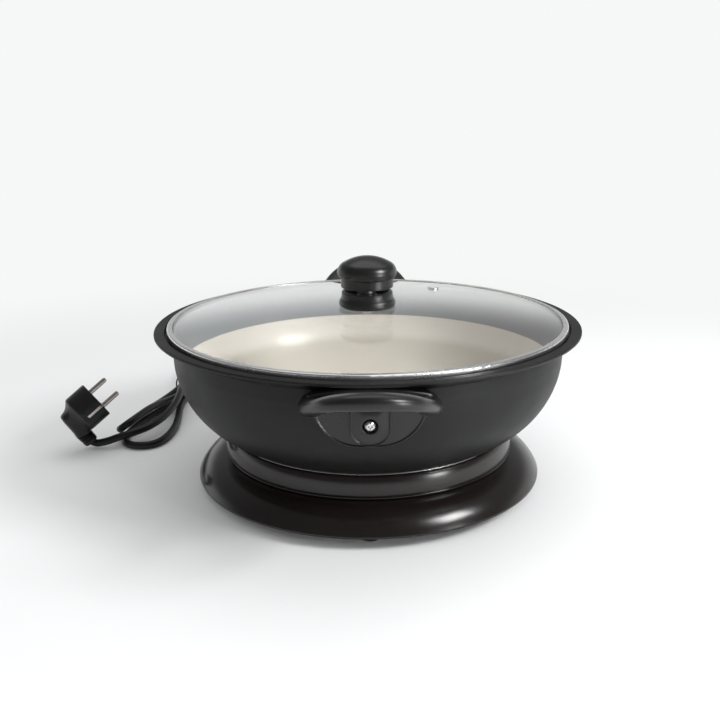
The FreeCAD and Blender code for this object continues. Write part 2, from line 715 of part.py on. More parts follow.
def swept_about_axis(label, outline, angle):
    """Solid turned about the Z axis by an angle that is centred on +Y."""
    item = doc.addObject("Part::Revolution", label)
    item.Source = free_sketch(label + "_sketch", "XZ", outline)
    item.Axis = TOP
    item.Angle = angle
    item.Solid = True
    item.Placement = FreeCAD.Placement(Vec(), FreeCAD.Rotation(TOP, 90.0 - angle / 2.0))
    return item


def wall_layer(thick, low, high):
    """Band that follows the outside of the wall from low to high, thick millimetres deep."""
    outer = s.bowl_arc + thick
    return [
        (wall_radius(low, s.bowl_arc - 2.0), low), (wall_radius(low, outer), low, "left", outer),
        (s.belly_radius + thick, s.belly_height), (s.belly_radius + thick, ledge - 6.6),
        (s.ledge_radius + thick - 0.4, high), (s.belly_radius - 2.0, high),
        (s.belly_radius - 2.0, s.belly_height, "right", s.bowl_arc - 2.0),
    ]


def handle_outline(inset, arm, near):
    """Plan of the loop: straight arms that run smoothly into one round end."""
    centre = s.handle_reach - s.handle_curve
    radius = s.handle_curve - inset
    across = s.handle_root_half - arm
    drop = centre - near
    far = across * across + drop * drop
    along = radius * radius / far
    aside = radius * root(far - radius * radius) / far
    touch_x = across * along + drop * aside
    touch_y = centre - drop * along + across * aside
    return [(-across, near), (across, near), (touch_x, touch_y, "left", radius), (-touch_x, touch_y)]


def make_handle(label, turn):
    near = s.handle_root - 18.0
    rise = s.handle_crest_top - s.handle_root_top
    reach = s.handle_reach - s.handle_root
    near_top = s.handle_root_top - rise / reach * 4.0
    far_end = s.handle_reach + 1.0
    loop_side = extruded(label + "_side", "YZ", [
        (near, near_top - s.handle_thick, "left", s.handle_sweep),
        (far_end, s.handle_crest_top - s.handle_thick),
        (far_end, s.handle_crest_top, "right", s.handle_sweep), (near, near_top),
    ], Vec(1, 0, 0), s.handle_root_half + 4.0, s.handle_root_half + 4.0)
    loop_plan = extruded(label + "_plan", "XY", handle_outline(tied(0), tied(0), near), Vec(0, 0, 1), 300.0)
    loop_hole = extruded(label + "_hole", "XY",
                         handle_outline(s.handle_bar, s.handle_arm + 3.5, s.hole_root), Vec(0, 0, 1), 300.0)
    blank = boolean("MultiCommon", label + "_blank", loop_side, loop_plan)
    loop = boolean("Cut", label + "_loop", blank, loop_hole)
    doc.recompute()
    rounded = doc.addObject("Part::Fillet", label + "_rounded")
    rounded.Base = loop
    edges = []
    for index, edge in enumerate(loop.Shape.Edges, start=1):
        box = edge.BoundBox
        upright = box.XLength < 0.01 and box.YLength < 0.01
        if not upright and box.YMax > s.handle_root.number and box.YLength > 1.0:
            edges.append((index, s.handle_round.number, s.handle_round.number))
    rounded.Edges = edges
    shield = extruded(label + "_shield", "XZ", [
        (-s.plate_toe, s.plate_bottom + 2.0, "left", 84.0), (s.plate_toe, s.plate_bottom + 2.0, "left", 42.0),
        (s.plate_half, s.plate_shoulder), (s.plate_half + 3.0, s.handle_root_top - 7.0, "left", 130.0),
        (0, s.plate_top, "left", 130.0),
        (-s.plate_half - 3.0, s.handle_root_top - 7.0), (-s.plate_half, s.plate_shoulder, "left", 42.0),
    ], Vec(0, 1, 0), 300.0)
    plate_layer = wall_layer(s.plate_thick, s.plate_bottom - 2.0, s.plate_top)
    plate_band = swept_about_axis(label + "_band", plate_layer, 40.0)
    plate = boolean("MultiCommon", label + "_plate", plate_band, shield)
    pad_shape = extruded(label + "_pad", "XZ", [
        (-s.pad_half, s.plate_bottom + 2.0 + s.pad_half, "left", s.pad_half),
        (0, s.plate_bottom + 2.0, "left", s.pad_half), (s.pad_half, s.plate_bottom + 2.0 + s.pad_half),
        (s.pad_half, s.plate_shoulder + 8.0), (-s.pad_half, s.plate_shoulder + 8.0),
    ], Vec(0, 1, 0), 300.0)
    pad_layer = wall_layer(s.pad_thick, s.plate_bottom - 2.0, s.plate_top)
    pad_band = swept_about_axis(label + "_pad_band", pad_layer, 20.0)
    screw_pad = boolean("MultiCommon", label + "_screw_pad", pad_band, pad_shape)
    whole = boolean("MultiFuse", label + "_whole", rounded, plate, screw_pad)
    pan_space = turned(label + "_pan_space", pan_outside(0.2))
    seat_face = s.boss_out + 1.9
    drill = new_body(label + "_drill")
    pad(drill, "XZ_Plane", None, -s.handle_reach, s.handle_reach - seat_face, False,
        [(0, s.screw_height, s.handle_recess)])
    pad(drill, "XZ_Plane", None, -s.handle_reach, 90.0, False,
        [(0, s.screw_height, s.screw_radius + s.air_gap)])
    pad(drill, "XZ_Plane", None, -s.boss_out - s.fit_gap * 2, 12.0, False,
        [(0, s.screw_height, s.boss_radius + s.fit_gap * 4)])
    tools = boolean("MultiFuse", label + "_cuts", pan_space, drill)
    handle = boolean("Cut", label, whole, tools)
    handle.Placement = FreeCAD.Placement(Vec(), FreeCAD.Rotation(TOP, turn))
    return keep(handle, label)


make_handle("handle_rear", 0.0)
make_handle("handle_front", 180.0)
handle_screw = screw_body("handle_screw_single", 7.6)
keep(placed_copies("handle_screws", handle_screw, [
    facing((0, side * (s.boss_out.number + 1.9), s.screw_height.number), (0, side, 0)) for side in (-1, 1)
]), "handle_screws")


# Lid: domed glass in a steel band, with a vent eyelet and a knob on a metal stem

def dome_radius(edge_radius, rise):
    """Radius of the sphere that rises so much over so wide an edge."""
    return (edge_radius * edge_radius + rise * rise) / (rise * 2.0)


glass_rise = s.glass_crown - s.glass_edge
dome_low = dome_radius(s.glass_radius, glass_rise)
dome_high = dome_low + s.glass_thick
dome_centre = s.glass_crown - dome_low


def dome_height(radius, dome):
    return dome_centre + root(dome * dome - radius * radius)


glass_top_edge = dome_height(s.glass_radius, dome_high)
glass_outline = [
    (s.knob_bore, dome_height(s.knob_bore, dome_high)),
    (s.knob_bore, dome_height(s.knob_bore, dome_low), "right", dome_low),
    (s.glass_radius, s.glass_edge), (s.glass_radius, glass_top_edge, "left", dome_high),
]
glass = turned("lid_glass", glass_outline)
pocket(glass, "XY_Plane", None, s.glass_edge - 4.0, 40.0, True, [
    (s.vent_across, s.vent_back, s.vent_radius + s.air_gap)])
keep(glass, "lid_glass")

lap_radius = s.band_radius - s.band_lap
lap_top = dome_height(lap_radius, dome_high) + s.fit_gap
lap_low = dome_height(lap_radius, dome_low) - s.fit_gap
band_inside = s.glass_radius + s.fit_gap * 4
band_high = glass_top_edge + s.fit_gap + s.band_sheet
band_low = s.glass_edge - s.fit_gap - s.band_sheet
rim_band = turned("lid_rim", [
    (lap_radius, lap_top), (s.glass_radius, glass_top_edge + s.fit_gap), (band_inside, glass_top_edge),
    (band_inside, s.glass_edge), (s.glass_radius, s.glass_edge - s.fit_gap), (lap_radius, lap_low),
    (lap_radius, lap_low - s.band_sheet * 0.7), (s.band_radius - 1.4, band_low, "left", 1.4),
    (s.band_radius, band_low + 1.4), (s.band_radius, band_high - 1.4, "left", 1.4),
    (s.band_radius - 1.4, band_high), (lap_radius, lap_top + s.band_sheet * 0.6),
])
keep(rim_band, "lid_rim")

vent_reach = root(s.vent_across * s.vent_across + s.vent_back * s.vent_back)
vent_top = dome_height(vent_reach, dome_high)
vent = turned("vent_single", [
    (s.vent_radius - 1.0, -s.glass_thick - 1.4), (s.vent_flange - 0.6, -s.glass_thick - 1.4),
    (s.vent_flange - 0.6, -s.glass_thick - 0.5), (s.vent_radius, -s.glass_thick - 0.5),
    (s.vent_radius, 0), (s.vent_flange, 0), (s.vent_flange, 0.6, "left", 1.2),
    (s.vent_flange - 1.2, 1.2), (s.vent_radius - 0.4, 1.2), (s.vent_radius - 1.0, 0.6),
])
lean = Vec(s.vent_across.number, s.vent_back.number, vent_top.number - dome_centre.number)
vent_seat = (s.vent_across.number, s.vent_back.number, vent_top.number + s.fit_gap.number)
vent_place = facing(vent_seat, (lean.x, lean.y, lean.z))
keep(placed_copies("vent_grommet", vent, [vent_place]), "vent_grommet")

knob_floor = dome_height(s.collar_foot_radius, dome_high) + s.fit_gap
glass_top = s.glass_crown + s.glass_thick
collar_top = knob_floor + s.collar_high
dish_floor = collar_top - s.collar_dish
knob_collar = turned("knob_collar", [
    (s.knob_bore, glass_top + s.fit_gap), (s.collar_foot_radius, knob_floor, "left", 4.0),
    (s.collar_flare, knob_floor + 2.8, "left", 5.0), (s.collar_neck + 0.8, knob_floor + 6.8, "right", 12.0),
    (s.collar_neck, collar_top - 0.8), (s.collar_neck - 0.8, collar_top), (s.collar_neck - 2.6, collar_top),
    (s.collar_neck - 4.0, dish_floor), (s.knob_bore, dish_floor),
])
keep(knob_collar, "knob_collar")
cap_low = collar_top + s.stem_gap
cap_seat = cap_low + 2.0
stem = turned("knob_stem", [
    (s.knob_bore, dish_floor), (s.stem_radius + 1.2, dish_floor), (s.stem_radius + 1.2, dish_floor + 1.6),
    (s.stem_radius, dish_floor + 2.4), (s.stem_radius, cap_seat), (s.knob_bore, cap_seat),
])
keep(stem, "knob_stem")
bolt_end = cap_low + 12.0
cap = turned("knob_cap", [
    (0, bolt_end + 0.5), (s.knob_bolt + s.fit_gap, bolt_end + 0.5), (s.knob_bolt + s.fit_gap, cap_seat),
    (s.stem_radius + s.fit_gap * 4, cap_seat), (s.stem_radius + s.fit_gap * 4, cap_low + 0.6),
    (s.cap_neck - 1.0, cap_low, "left", 1.0), (s.cap_neck, cap_low + 1.0),
    (s.cap_neck, cap_low + s.cap_neck_high), (s.cap_neck + 1.4, cap_low + s.cap_neck_high + 0.8, "left", 9.0),
    (s.cap_radius, cap_low + s.cap_neck_high + 5.2, "left", 9.5),
    (s.cap_radius - 5.8, cap_low + s.cap_high - 5.2, "left", dome_radius(s.cap_radius - 5.8, tied(5.2))),
    (0, cap_low + s.cap_high),
])
keep(cap, "knob_cap")

washer_top = s.glass_crown - s.fit_gap
washer = turned("knob_washer", [
    (s.knob_bolt + s.fit_gap, washer_top - 2.4), (s.pad_radius, washer_top - 2.4),
    (s.pad_radius, dome_height(s.pad_radius, dome_low) - s.fit_gap),
    (s.knob_bolt + s.fit_gap, washer_top - 0.1),
])
keep(washer, "knob_washer")
knob_screw = screw_body("knob_screw_single", bolt_end - washer_top + 2.4, head=s.screw_head + 2.0,
                        radius=s.knob_bolt, high=s.screw_head_high + 0.6)
keep(placed_copies("knob_screw", knob_screw, [
    facing((0, 0, washer_top.number - 2.4), (0, 0, -1))
]), "knob_screw")


# Controller: two shells round a contact block, with the probe, the switch and the dial's shaft

def case_shell(label, floor, split, wall_side):
    """Half of the controller's case, open at the parting line."""
    body = new_body(label)
    height = split - floor if wall_side > 0 else floor - split
    start = floor if wall_side > 0 else split
    outer = rounded_corners(s.case_half, s.case_front, s.case_back, s.case_corner)
    pad(body, "XY_Plane", outer, start, height)
    inner = rounded_corners(s.case_half - s.case_wall, s.case_front + s.case_wall,
                            s.case_back - s.case_wall, s.case_corner - s.case_wall)
    cut_start = floor + s.case_wall if wall_side > 0 else split
    pocket(body, "XY_Plane", inner, cut_start, height - s.case_wall, True)
    return body


nose_half = s.guard_half - s.guard_wall - s.air_gap - 0.6
nose_rise = s.guard_rise - s.guard_wall - s.air_gap - 0.2
block_start = heater_end + s.bead_length + s.air_gap
block_end = s.case_front + 16.0
lower = case_shell("controller_base", s.case_bottom, s.case_split, 1)
screw_spots = [
    (s.case_half - 6.0, s.case_back - 8.0), (-s.case_half + 6.0, s.case_back - 8.0),
]
pad(lower, "XY_Plane", None, s.case_bottom, s.case_split - s.case_bottom, False,
    [(x, y, s.screw_head + 1.4) for x, y in screw_spots])
pocket(lower, "XY_Plane", None, s.case_bottom - 1.0, 30.0, True,
       [(x, y, s.screw_radius + s.air_gap) for x, y in screw_spots])
pocket(lower, "XY_Plane", None, s.case_bottom - 1.0, s.screw_head_high + 2.0, True,
       [(x, y, s.screw_head + s.air_gap) for x, y in screw_spots])
pocket(lower, "XZ_Plane",
       box_corners(-nose_half - s.fit_gap, heater_height - nose_rise - s.fit_gap,
                   nose_half + s.fit_gap, s.case_split + 1.0),
       -(s.case_front + s.case_corner + 1.0), s.case_corner + 2.0, True)
pocket(lower, "XZ_Plane", None, -s.case_back - 1.0, s.case_wall + 2.0, True,
       [(0, s.cord_exit_height, s.cord_radius + 1.2 + s.fit_gap)])
keep(lower, "controller_base")
upper = case_shell("controller_cover", s.case_top, s.case_split, -1)
pad(upper, "XY_Plane", None, s.case_split, s.case_top - s.case_split, False,
    [(x, y, s.screw_head + 1.4) for x, y in screw_spots])
pocket(upper, "XY_Plane", None, s.case_split, 10.0, True,
       [(x, y, s.screw_radius + s.fit_gap) for x, y in screw_spots])
pocket(upper, "XY_Plane", None, s.case_top + 1.0, s.case_wall + 2.0, False, [
    (0, s.dial_back, s.dial_bore + s.fit_gap), (0, s.lamp_back, s.lamp_radius + s.fit_gap)])
pocket(upper, "XZ_Plane",
       box_corners(-nose_half - s.fit_gap, s.case_split - 1.0,
                   nose_half + s.fit_gap, heater_height + nose_rise + s.fit_gap),
       -(s.case_front + s.case_corner + 1.0), s.case_corner + 2.0, True)
keep(upper, "controller_cover")

block = new_body("contact_block")
pad(block, "XZ_Plane",
    rounded_corners(nose_half, heater_height - nose_rise, heater_height + nose_rise, tied(1.6)),
    -block_end, block_end - block_start)
sleeve_radius = s.pin_radius + s.fit_gap + s.sleeve_wall
pocket(block, "XZ_Plane", None, -block_end - 1.0, block_end - block_start + 2.0, True, [
    (-s.pin_half, heater_height, sleeve_radius + s.fit_gap),
    (s.pin_half, heater_height, sleeve_radius + s.fit_gap),
    (0, heater_height, s.probe_radius + s.fit_gap)])
keep(block, "contact_block")
pair_solids("contact_sleeves", sleeve_radius, heater_end + s.bead_length + 1.0, block_end + 4.0,
            s.pin_radius + s.fit_gap)

probe = new_body("thermostat_probe")
pad(probe, "XZ_Plane", None, -block_end - 8.0, block_end + 8.0 - s.probe_tip, False,
    [(0, heater_height, s.probe_radius)])
pad(probe, "XZ_Plane", None, -block_end - 8.0, 7.6, False, [(0, heater_height, s.probe_radius + 2.5)])
keep(probe, "thermostat_probe")

floor_top = s.case_bottom + s.case_wall
bracket = new_body("thermostat_bracket")
frame_top = s.case_top - s.case_wall - 4.0
bracket_back = s.dial_back + 12.0
pad(bracket, "YZ_Plane", [
    (block_end + 10.0, floor_top), (bracket_back, floor_top), (bracket_back, frame_top),
    (block_end + 10.0, frame_top), (block_end + 10.0, frame_top - 1.2), (bracket_back - 1.2, frame_top - 1.2),
    (bracket_back - 1.2, floor_top + 1.2), (block_end + 10.0, floor_top + 1.2),
], -8.0, 16.0)
pocket(bracket, "XY_Plane", None, frame_top + 1.0, 4.0, False, [(0, s.dial_back, s.dial_bore + s.fit_gap)])
keep(bracket, "thermostat_bracket")

blades = new_body("switch_blade_single")
pad(blades, "XY_Plane", box_corners(-3.0, block_end + 14.0, 3.0, bracket_back - 1.2), floor_top + 5.0, 0.8)
pad(blades, "XY_Plane", None, floor_top + 5.0, 2.0, False, [(0, block_end + 17.0, 1.8)])
blade_places = [FreeCAD.Placement(Vec(0, 0, lift), FreeCAD.Rotation()) for lift in (0.0, 4.0)]
keep(placed_copies("switch_blades", blades, blade_places), "switch_blades")

dial_seat = s.case_top + s.air_gap
shaft = turned("dial_shaft_single", [
    (0, -11.0), (2.4, -11.0), (2.4, -1.0), (s.dial_bore, -1.0),
    (s.dial_bore, s.dial_high * 0.5), (0, s.dial_high * 0.5),
])
shaft.Placement = FreeCAD.Placement(Vec(0, s.dial_back.number, dial_seat.number), FreeCAD.Rotation())
keep(shaft, "dial_shaft")
dial = turned("dial_knob", [
    (0, s.dial_high * 0.5), (s.dial_bore + s.fit_gap, s.dial_high * 0.5), (s.dial_bore + s.fit_gap, 0.6),
    (s.dial_bore + 2.0, 0), (s.dial_radius, 0), (s.dial_radius, s.dial_high * 0.3),
    (s.dial_radius * 0.72, s.dial_high * 0.36), (s.dial_radius * 0.66, s.dial_high - 1.0, "left", 1.2),
    (s.dial_radius * 0.66 - 1.0, s.dial_high), (0, s.dial_high),
])
flute = pocket(dial, "XY_Plane", None, s.dial_high + 1.0, s.dial_high * 0.6, False,
               [(s.dial_radius * 0.66 + 1.6, 0, 2.4)])
polar(dial, flute, 18)
dial.Placement = FreeCAD.Placement(Vec(0, s.dial_back.number, dial_seat.number), FreeCAD.Rotation())
keep(dial, "dial_knob")

lens = turned("pilot_lens", [
    (0, -s.case_wall - 1.2), (s.lamp_radius + 1.0, -s.case_wall - 1.2),
    (s.lamp_radius + 1.0, -s.case_wall - 0.1), (s.lamp_radius, -s.case_wall - 0.1),
    (s.lamp_radius, 0.3, "left", dome_radius(s.lamp_radius, tied(1.2))), (0, 1.5),
])
lens.Placement = FreeCAD.Placement(Vec(0, s.lamp_back.number, s.case_top.number), FreeCAD.Rotation())
keep(lens, "pilot_lens")

case_screw = screw_body("controller_screw_single", 18.0)
case_screw_seat = s.case_bottom.number + s.screw_head_high.number + 1.0
keep(placed_copies("controller_screws", case_screw, [
    facing((tied(x).number, tied(y).number, case_screw_seat), (0, 0, -1)) for x, y in screw_spots
]), "controller_screws")

relief = new_body("strain_relief")
relief_end = s.case_back + s.relief_length
pad(relief, "XZ_Plane", None, -relief_end, s.relief_length + s.case_wall, False,
    [(0, s.cord_exit_height, s.cord_radius + 1.2)])
pad(relief, "XZ_Plane", None, -s.case_back - 2.4, 2.4, False,
    [(0, s.cord_exit_height, s.cord_radius + 3.2)])
pad(relief, "XZ_Plane", None, -s.case_back + s.case_wall, 2.0, False,
    [(0, s.cord_exit_height, s.cord_radius + 2.6)])
for step in range(4):
    pad(relief, "XZ_Plane", None, -s.case_back - 6.0 - 3.6 * step, 2.0, False,
        [(0, s.cord_exit_height, s.cord_radius + 2.6 - 0.25 * step)])
keep(relief, "strain_relief")


# Plug: a round moulded face with two pins and side earth clips, its cord leaving square to the pins.
# It is modelled with the pins along +Z and the cord along +X, then leans as it lies.
cord_home = Vec(0, relief_end.number - 234.0, 0)
PLUG_FACE = Vec(-260.2, 68.1, 48.7) + cord_home
PINS_POINT = Vec(0.706, 0.417, 0.572).normalize()
CORD_POINTS = Vec(0.475, 0.319, -0.820)
CORD_POINTS = (CORD_POINTS - PINS_POINT * CORD_POINTS.dot(PINS_POINT)).normalize()
PLUG_SIDE = PINS_POINT.cross(CORD_POINTS)
plug_matrix = FreeCAD.Matrix(
    CORD_POINTS.x, PLUG_SIDE.x, PINS_POINT.x, PLUG_FACE.x,
    CORD_POINTS.y, PLUG_SIDE.y, PINS_POINT.y, PLUG_FACE.y,
    CORD_POINTS.z, PLUG_SIDE.z, PINS_POINT.z, PLUG_FACE.z,
    0, 0, 0, 1)
plug_place = FreeCAD.Placement(plug_matrix)
cord_back = 31.7
plug_mouth = 30.0

plug = new_body("plug_body")
pad(plug, "XY_Plane", None, -s.plug_depth, s.plug_depth, False, [(0, 0, s.plug_radius)])
pad(plug, "XY_Plane", [
    (-s.plug_radius + 5.0, -12.0), (s.plug_radius - 5.0, -12.0),
    (s.plug_radius - 5.0, 12.0), (-s.plug_radius + 5.0, 12.0),
], -s.plug_depth - 10.0, 12.0)
pad(plug, "XZ_Plane", [
    (-s.plug_radius + 2.0, -s.plug_depth), (-s.plug_radius + 6.0, -s.plug_depth - 6.0),
    (-s.plug_radius + 9.0, -cord_back - 7.0), (17.0, -cord_back - 7.0), (17.0, -s.plug_depth),
], -8.5, 17.0)
pad(plug, "YZ_Plane", None, 4.0, plug_mouth - 4.0, False, [(0, -cord_back, s.cord_radius + 2.8)])
for side in (-1.0, 1.0):
    low, high = (s.plug_radius - 3.4) * side, (s.plug_radius + 4.0) * side
    pocket(plug, "XY_Plane", box_corners(-3.4, low if side > 0 else high, 3.4, high if side > 0 else low),
           0.5, 20.5)
pin_spots = [(s.plug_pin_spacing * 0.5, 0, s.plug_pin_radius + s.fit_gap),
             (-s.plug_pin_spacing * 0.5, 0, s.plug_pin_radius + s.fit_gap)]
pocket(plug, "XY_Plane", None, 0.5, 10.5, False, pin_spots)
rings = [18.5, 21.5, 24.5, 27.5]
for ring in rings:
    pad(plug, "YZ_Plane", None, ring, 1.4, False, [(0, -cord_back, s.cord_radius + 3.3)])
plug.Placement = plug_place
keep(plug, "plug_body")

pins = new_body("plug_pin_single")
pad(pins, "XY_Plane", None, -10.0, s.plug_pin_length + 9.0, False, [(0, 0, s.plug_pin_radius)])
pad(pins, "XY_Plane", None, s.plug_pin_length - 1.0, 1.0, False, [(0, 0, s.plug_pin_radius - 0.7)])
keep(placed_copies("plug_pins", pins, [
    plug_place.multiply(
        FreeCAD.Placement(Vec(side * s.plug_pin_spacing.number / 2.0, 0, 0), FreeCAD.Rotation()))
    for side in (-1, 1)
]), "plug_pins")
clip = new_body("plug_clip_single")
clip_face = s.plug_radius - 3.4
pad(clip, "XY_Plane", box_corners(-3.0, clip_face, 3.0, clip_face + 0.8), -19.6, 18.4)
pad(clip, "YZ_Plane", [
    (clip_face + 0.4, -16.0), (clip_face + 2.6, -10.0), (clip_face + 0.4, -4.0), (clip_face + 0.2, -4.6),
    (clip_face + 1.9, -10.0), (clip_face + 0.2, -15.4),
], -2.6, 5.2)
keep(placed_copies("plug_earth_clips", clip, [
    plug_place.multiply(FreeCAD.Placement(Vec(), FreeCAD.Rotation(TOP, 180.0 * index))) for index in range(2)
]), "plug_earth_clips")


# Cord: hand-chosen points, straight runs joined by tangent arcs

def cord_wire(points):
    """Runs and arcs along the points; prints the radii that the corners get."""
    edges = []
    radii = []
    here = points[0]
    for before, corner, after in zip(points, points[1:], points[2:]):
        into = (corner - before).normalize()
        out = (after - corner).normalize()
        turn = into.getAngle(out)
        shorter = min((corner - before).Length, (after - corner).Length)
        trim = 0.45 * shorter
        radius = trim / math.tan(turn / 2.0)
        radii.append(round(radius, 1))
        start = corner - into * trim
        end = corner + out * trim
        inward = (out - into).normalize()
        centre = corner + inward * (radius / math.cos(turn / 2.0))
        middle = centre - inward * radius
        edges.append(Part.LineSegment(here, start).toShape())
        edges.append(Part.Arc(start, middle, end).toShape())
        here = end
    edges.append(Part.LineSegment(here, points[-1]).toShape())
    return Part.Wire(edges), radii


def free_cord(label, points):
    wire, radii = cord_wire(points)
    shape = tube_along(wire, s.cord_radius.number)
    section = math.pi * s.cord_radius.number ** 2
    print(label, "radii", radii, "length", round(wire.Length, 1),
          "volume share", round(shape.Volume / (section * wire.Length), 4))
    return keep(solid_feature(label, shape), label), wire.Length


# Hank: two long loops folded beside the wok, drawn in at the waist where the tie holds them
HANK_WAIST = Vec(-205.0, 214.0, 0.0) + cord_home
HANK_FAR = Vec(-196.0, 318.0, 0.0) + cord_home
NEAR_TIPS = (Vec(-222.0, 60.0, 0.0) + cord_home, Vec(-239.0, 76.0, 0.0) + cord_home)
NEAR_HALVES = (21.0, 9.0)
NEAR_LEANS = (0.0, math.radians(36.0))
FAR_HALF = 17.0
WAIST_HALF = 4.4
LAYER = 8.1
TIE_SHEET = 0.8
lay = s.cord_radius.number + 0.05
waist_lay = s.cord_radius.number + TIE_SHEET + 0.2


def biarc(start, start_way, end, end_way):
    """Two arcs that meet smoothly, from one place and direction to another."""
    gap = end - start
    spread = 1.0 - start_way.dot(end_way)
    along = gap.dot(start_way + end_way)
    if spread < 1e-9:
        reach = gap.dot(gap) / (4.0 * gap.dot(end_way))
    else:
        reach = (-along + math.sqrt(along * along + 2.0 * spread * gap.dot(gap))) / (2.0 * spread)
    first = start + start_way * reach
    last = end - end_way * reach
    joint = (first + last) * 0.5
    edges = []
    for low, corner, high in ((start, first, joint), (joint, last, end)):
        chord_middle = (low + high) * 0.5
        offset = (corner - chord_middle).Length
        slope = math.atan2(offset, (high - low).Length / 2.0)
        share = math.cos(slope) / (1.0 + math.cos(slope))
        if offset < 1e-4:
            edges.append(Part.LineSegment(low, high).toShape())
        else:
            edges.append(Part.Arc(low, chord_middle + (corner - chord_middle) * share, high).toShape())
    return edges


def hank_keys():
    """Places and directions along the hank, from the waist's right side down and round."""
    far_way = (HANK_FAR - HANK_WAIST).normalize()
    far_side = Vec(far_way.y, -far_way.x, 0)
    keys = []
    for index, (tip, half, lean) in enumerate(zip(NEAR_TIPS, NEAR_HALVES, NEAR_LEANS)):
        near_way = (HANK_WAIST - tip).normalize()
        near_side = Vec(near_way.y, -near_way.x, 0)
        waist_way = (near_way + far_way).normalize()
        waist_side = Vec(waist_way.y, -waist_way.x, 0)
        low = TOP * (lay + LAYER * index)
        low_waist = TOP * (waist_lay + LAYER * index)
        shoulder = tip + near_way * (half * 0.6 + 14.0)
        far_shoulder = HANK_FAR - far_way * FAR_HALF * 1.5
        if index == 0:
            keys.append((HANK_WAIST + waist_side * WAIST_HALF + low_waist, waist_way * -1.0))
        near_side = near_side * math.cos(lean) + TOP * math.sin(lean)
        low_middle = low + TOP * (half * math.sin(lean))
        keys.append((shoulder + near_side * half + low_middle, near_way * -1.0))
        keys.append((tip + low_middle, near_side * -1.0))
        keys.append((shoulder - near_side * half + low_middle, near_way))
        keys.append((HANK_WAIST - waist_side * WAIST_HALF + low_waist, waist_way))
        keys.append((far_shoulder - far_side * FAR_HALF + low, far_way))
        keys.append((HANK_FAR + low + TOP * LAYER * 0.5, far_side))
        keys.append((far_shoulder + far_side * FAR_HALF + low + TOP * LAYER, far_way * -1.0))
        keys.append((HANK_WAIST + waist_side * WAIST_HALF + low_waist + TOP * LAYER, waist_way * -1.0))
    return keys


def least_gap(wire, radius):
    """Least distance between the tube's surfaces where it passes itself."""
    step = 1.5
    points = []
    travelled = 0.0
    for edge in wire.OrderedEdges:
        count = max(int(edge.Length / step), 1)
        for index in range(count):
            share = (index + 0.5) / count
            at = edge.FirstParameter + (edge.LastParameter - edge.FirstParameter) * share
            points.append((travelled + edge.Length * share, edge.valueAt(at)))
        travelled += edge.Length
    best = 1e9
    for index, (place, point) in enumerate(points):
        for other_place, other in points[index + 1:]:
            if other_place - place > radius * 6.0:
                best = min(best, point.distanceToPoint(other))
    return best - radius * 2.0


keys = hank_keys()
tail = s.cord_radius.number * 2.0
hank_start = keys[0][0] - keys[0][1] * tail
hank_end = keys[-1][0] + keys[-1][1] * tail
hank_edges = [Part.LineSegment(hank_start, keys[0][0]).toShape()]
for (place, way), (next_place, next_way) in zip(keys, keys[1:]):
    hank_edges.extend(biarc(place, way, next_place, next_way))
hank_edges.append(Part.LineSegment(keys[-1][0], hank_end).toShape())
hank_wire = Part.Wire(hank_edges)
hank_shape = tube_along(hank_wire, s.cord_radius.number)
hank_section = math.pi * s.cord_radius.number ** 2
print("hank length", round(hank_wire.Length, 1),
      "least gap", round(least_gap(hank_wire, s.cord_radius.number), 2),
      "volume share", round(hank_shape.Volume / (hank_section * hank_wire.Length), 4))
keep(solid_feature("cord_hank", hank_shape), "cord_hank")

# Tie: a flat band round the waist with its twisted ends at the side
waist_way = keys[4][1]
tie_half = WAIST_HALF + s.cord_radius.number + 0.3
tie_high = waist_lay + LAYER * 2.0 + s.cord_radius.number + 0.3
TIE_WIDE = 4.0
band_outer = Part.makeBox(2.0 * (tie_half + TIE_SHEET), TIE_WIDE, tie_high + TIE_SHEET,
                          Vec(-tie_half - TIE_SHEET, -TIE_WIDE / 2.0, 0.05))
band_inner = Part.makeBox(2.0 * tie_half, TIE_WIDE * 2.0, tie_high - TIE_SHEET - 0.1,
                          Vec(-tie_half, -TIE_WIDE, 0.05 + TIE_SHEET))
twist = Part.makeCylinder(1.3, 9.0, Vec(-tie_half - 0.2, 0, 12.0), Vec(-1.0, -0.4, 0.7))
tie_solid = band_outer.cut(band_inner).fuse(twist.cut(band_inner)).removeSplitter()
tie_turn = math.degrees(math.atan2(-waist_way.x, waist_way.y))
cord_tie = solid_feature("cord_tie", tie_solid)
cord_tie.Placement = FreeCAD.Placement(HANK_WAIST, FreeCAD.Rotation(TOP, tie_turn))
keep(cord_tie, "cord_tie")

# Free stretches: from the controller to the hank, and from the hank to the plug
relief_mouth = Vec(0, relief_end.number, s.cord_exit_height.number)
supply_route = [
    Vec(0, 250, 37), Vec(-4, 268, 30), Vec(-17, 286, 18), Vec(-39, 299, 8), Vec(-66, 306, 3.9),
    Vec(-94, 308, 3.8), Vec(-121, 305, 3.8), Vec(-148, 296, 3.8), Vec(-170, 282, 3.9), Vec(-187, 265.5, 4.2),
]
supply_points = [
    relief_mouth, *[point + cord_home for point in supply_route], hank_start - keys[0][1] * 26.0, hank_start,
]
free_cord("cord_supply", supply_points)
relief_face = PLUG_FACE + CORD_POINTS * plug_mouth - PINS_POINT * cord_back
plug_corner = relief_face + CORD_POINTS * ((relief_face.z - lay) / -CORD_POINTS.z)
lead_route = [
    Vec(-200.2, 166.0, 21.2), Vec(-200.6, 138.0, 18.0), Vec(-206.0, 109.0, 15.4), Vec(-214.5, 87.5, 13.8),
    Vec(-225.3, 73.7, 13.0), Vec(-238.5, 66.0, 11.4), Vec(-253.3, 63.3, 6.6),
]
lead_points = [
    hank_end, hank_end + keys[-1][1] * 14.0, *[point + cord_home for point in lead_route],
    plug_corner, plug_corner - CORD_POINTS * 12.5,
]
free_cord("cord_plug_lead", lead_points)

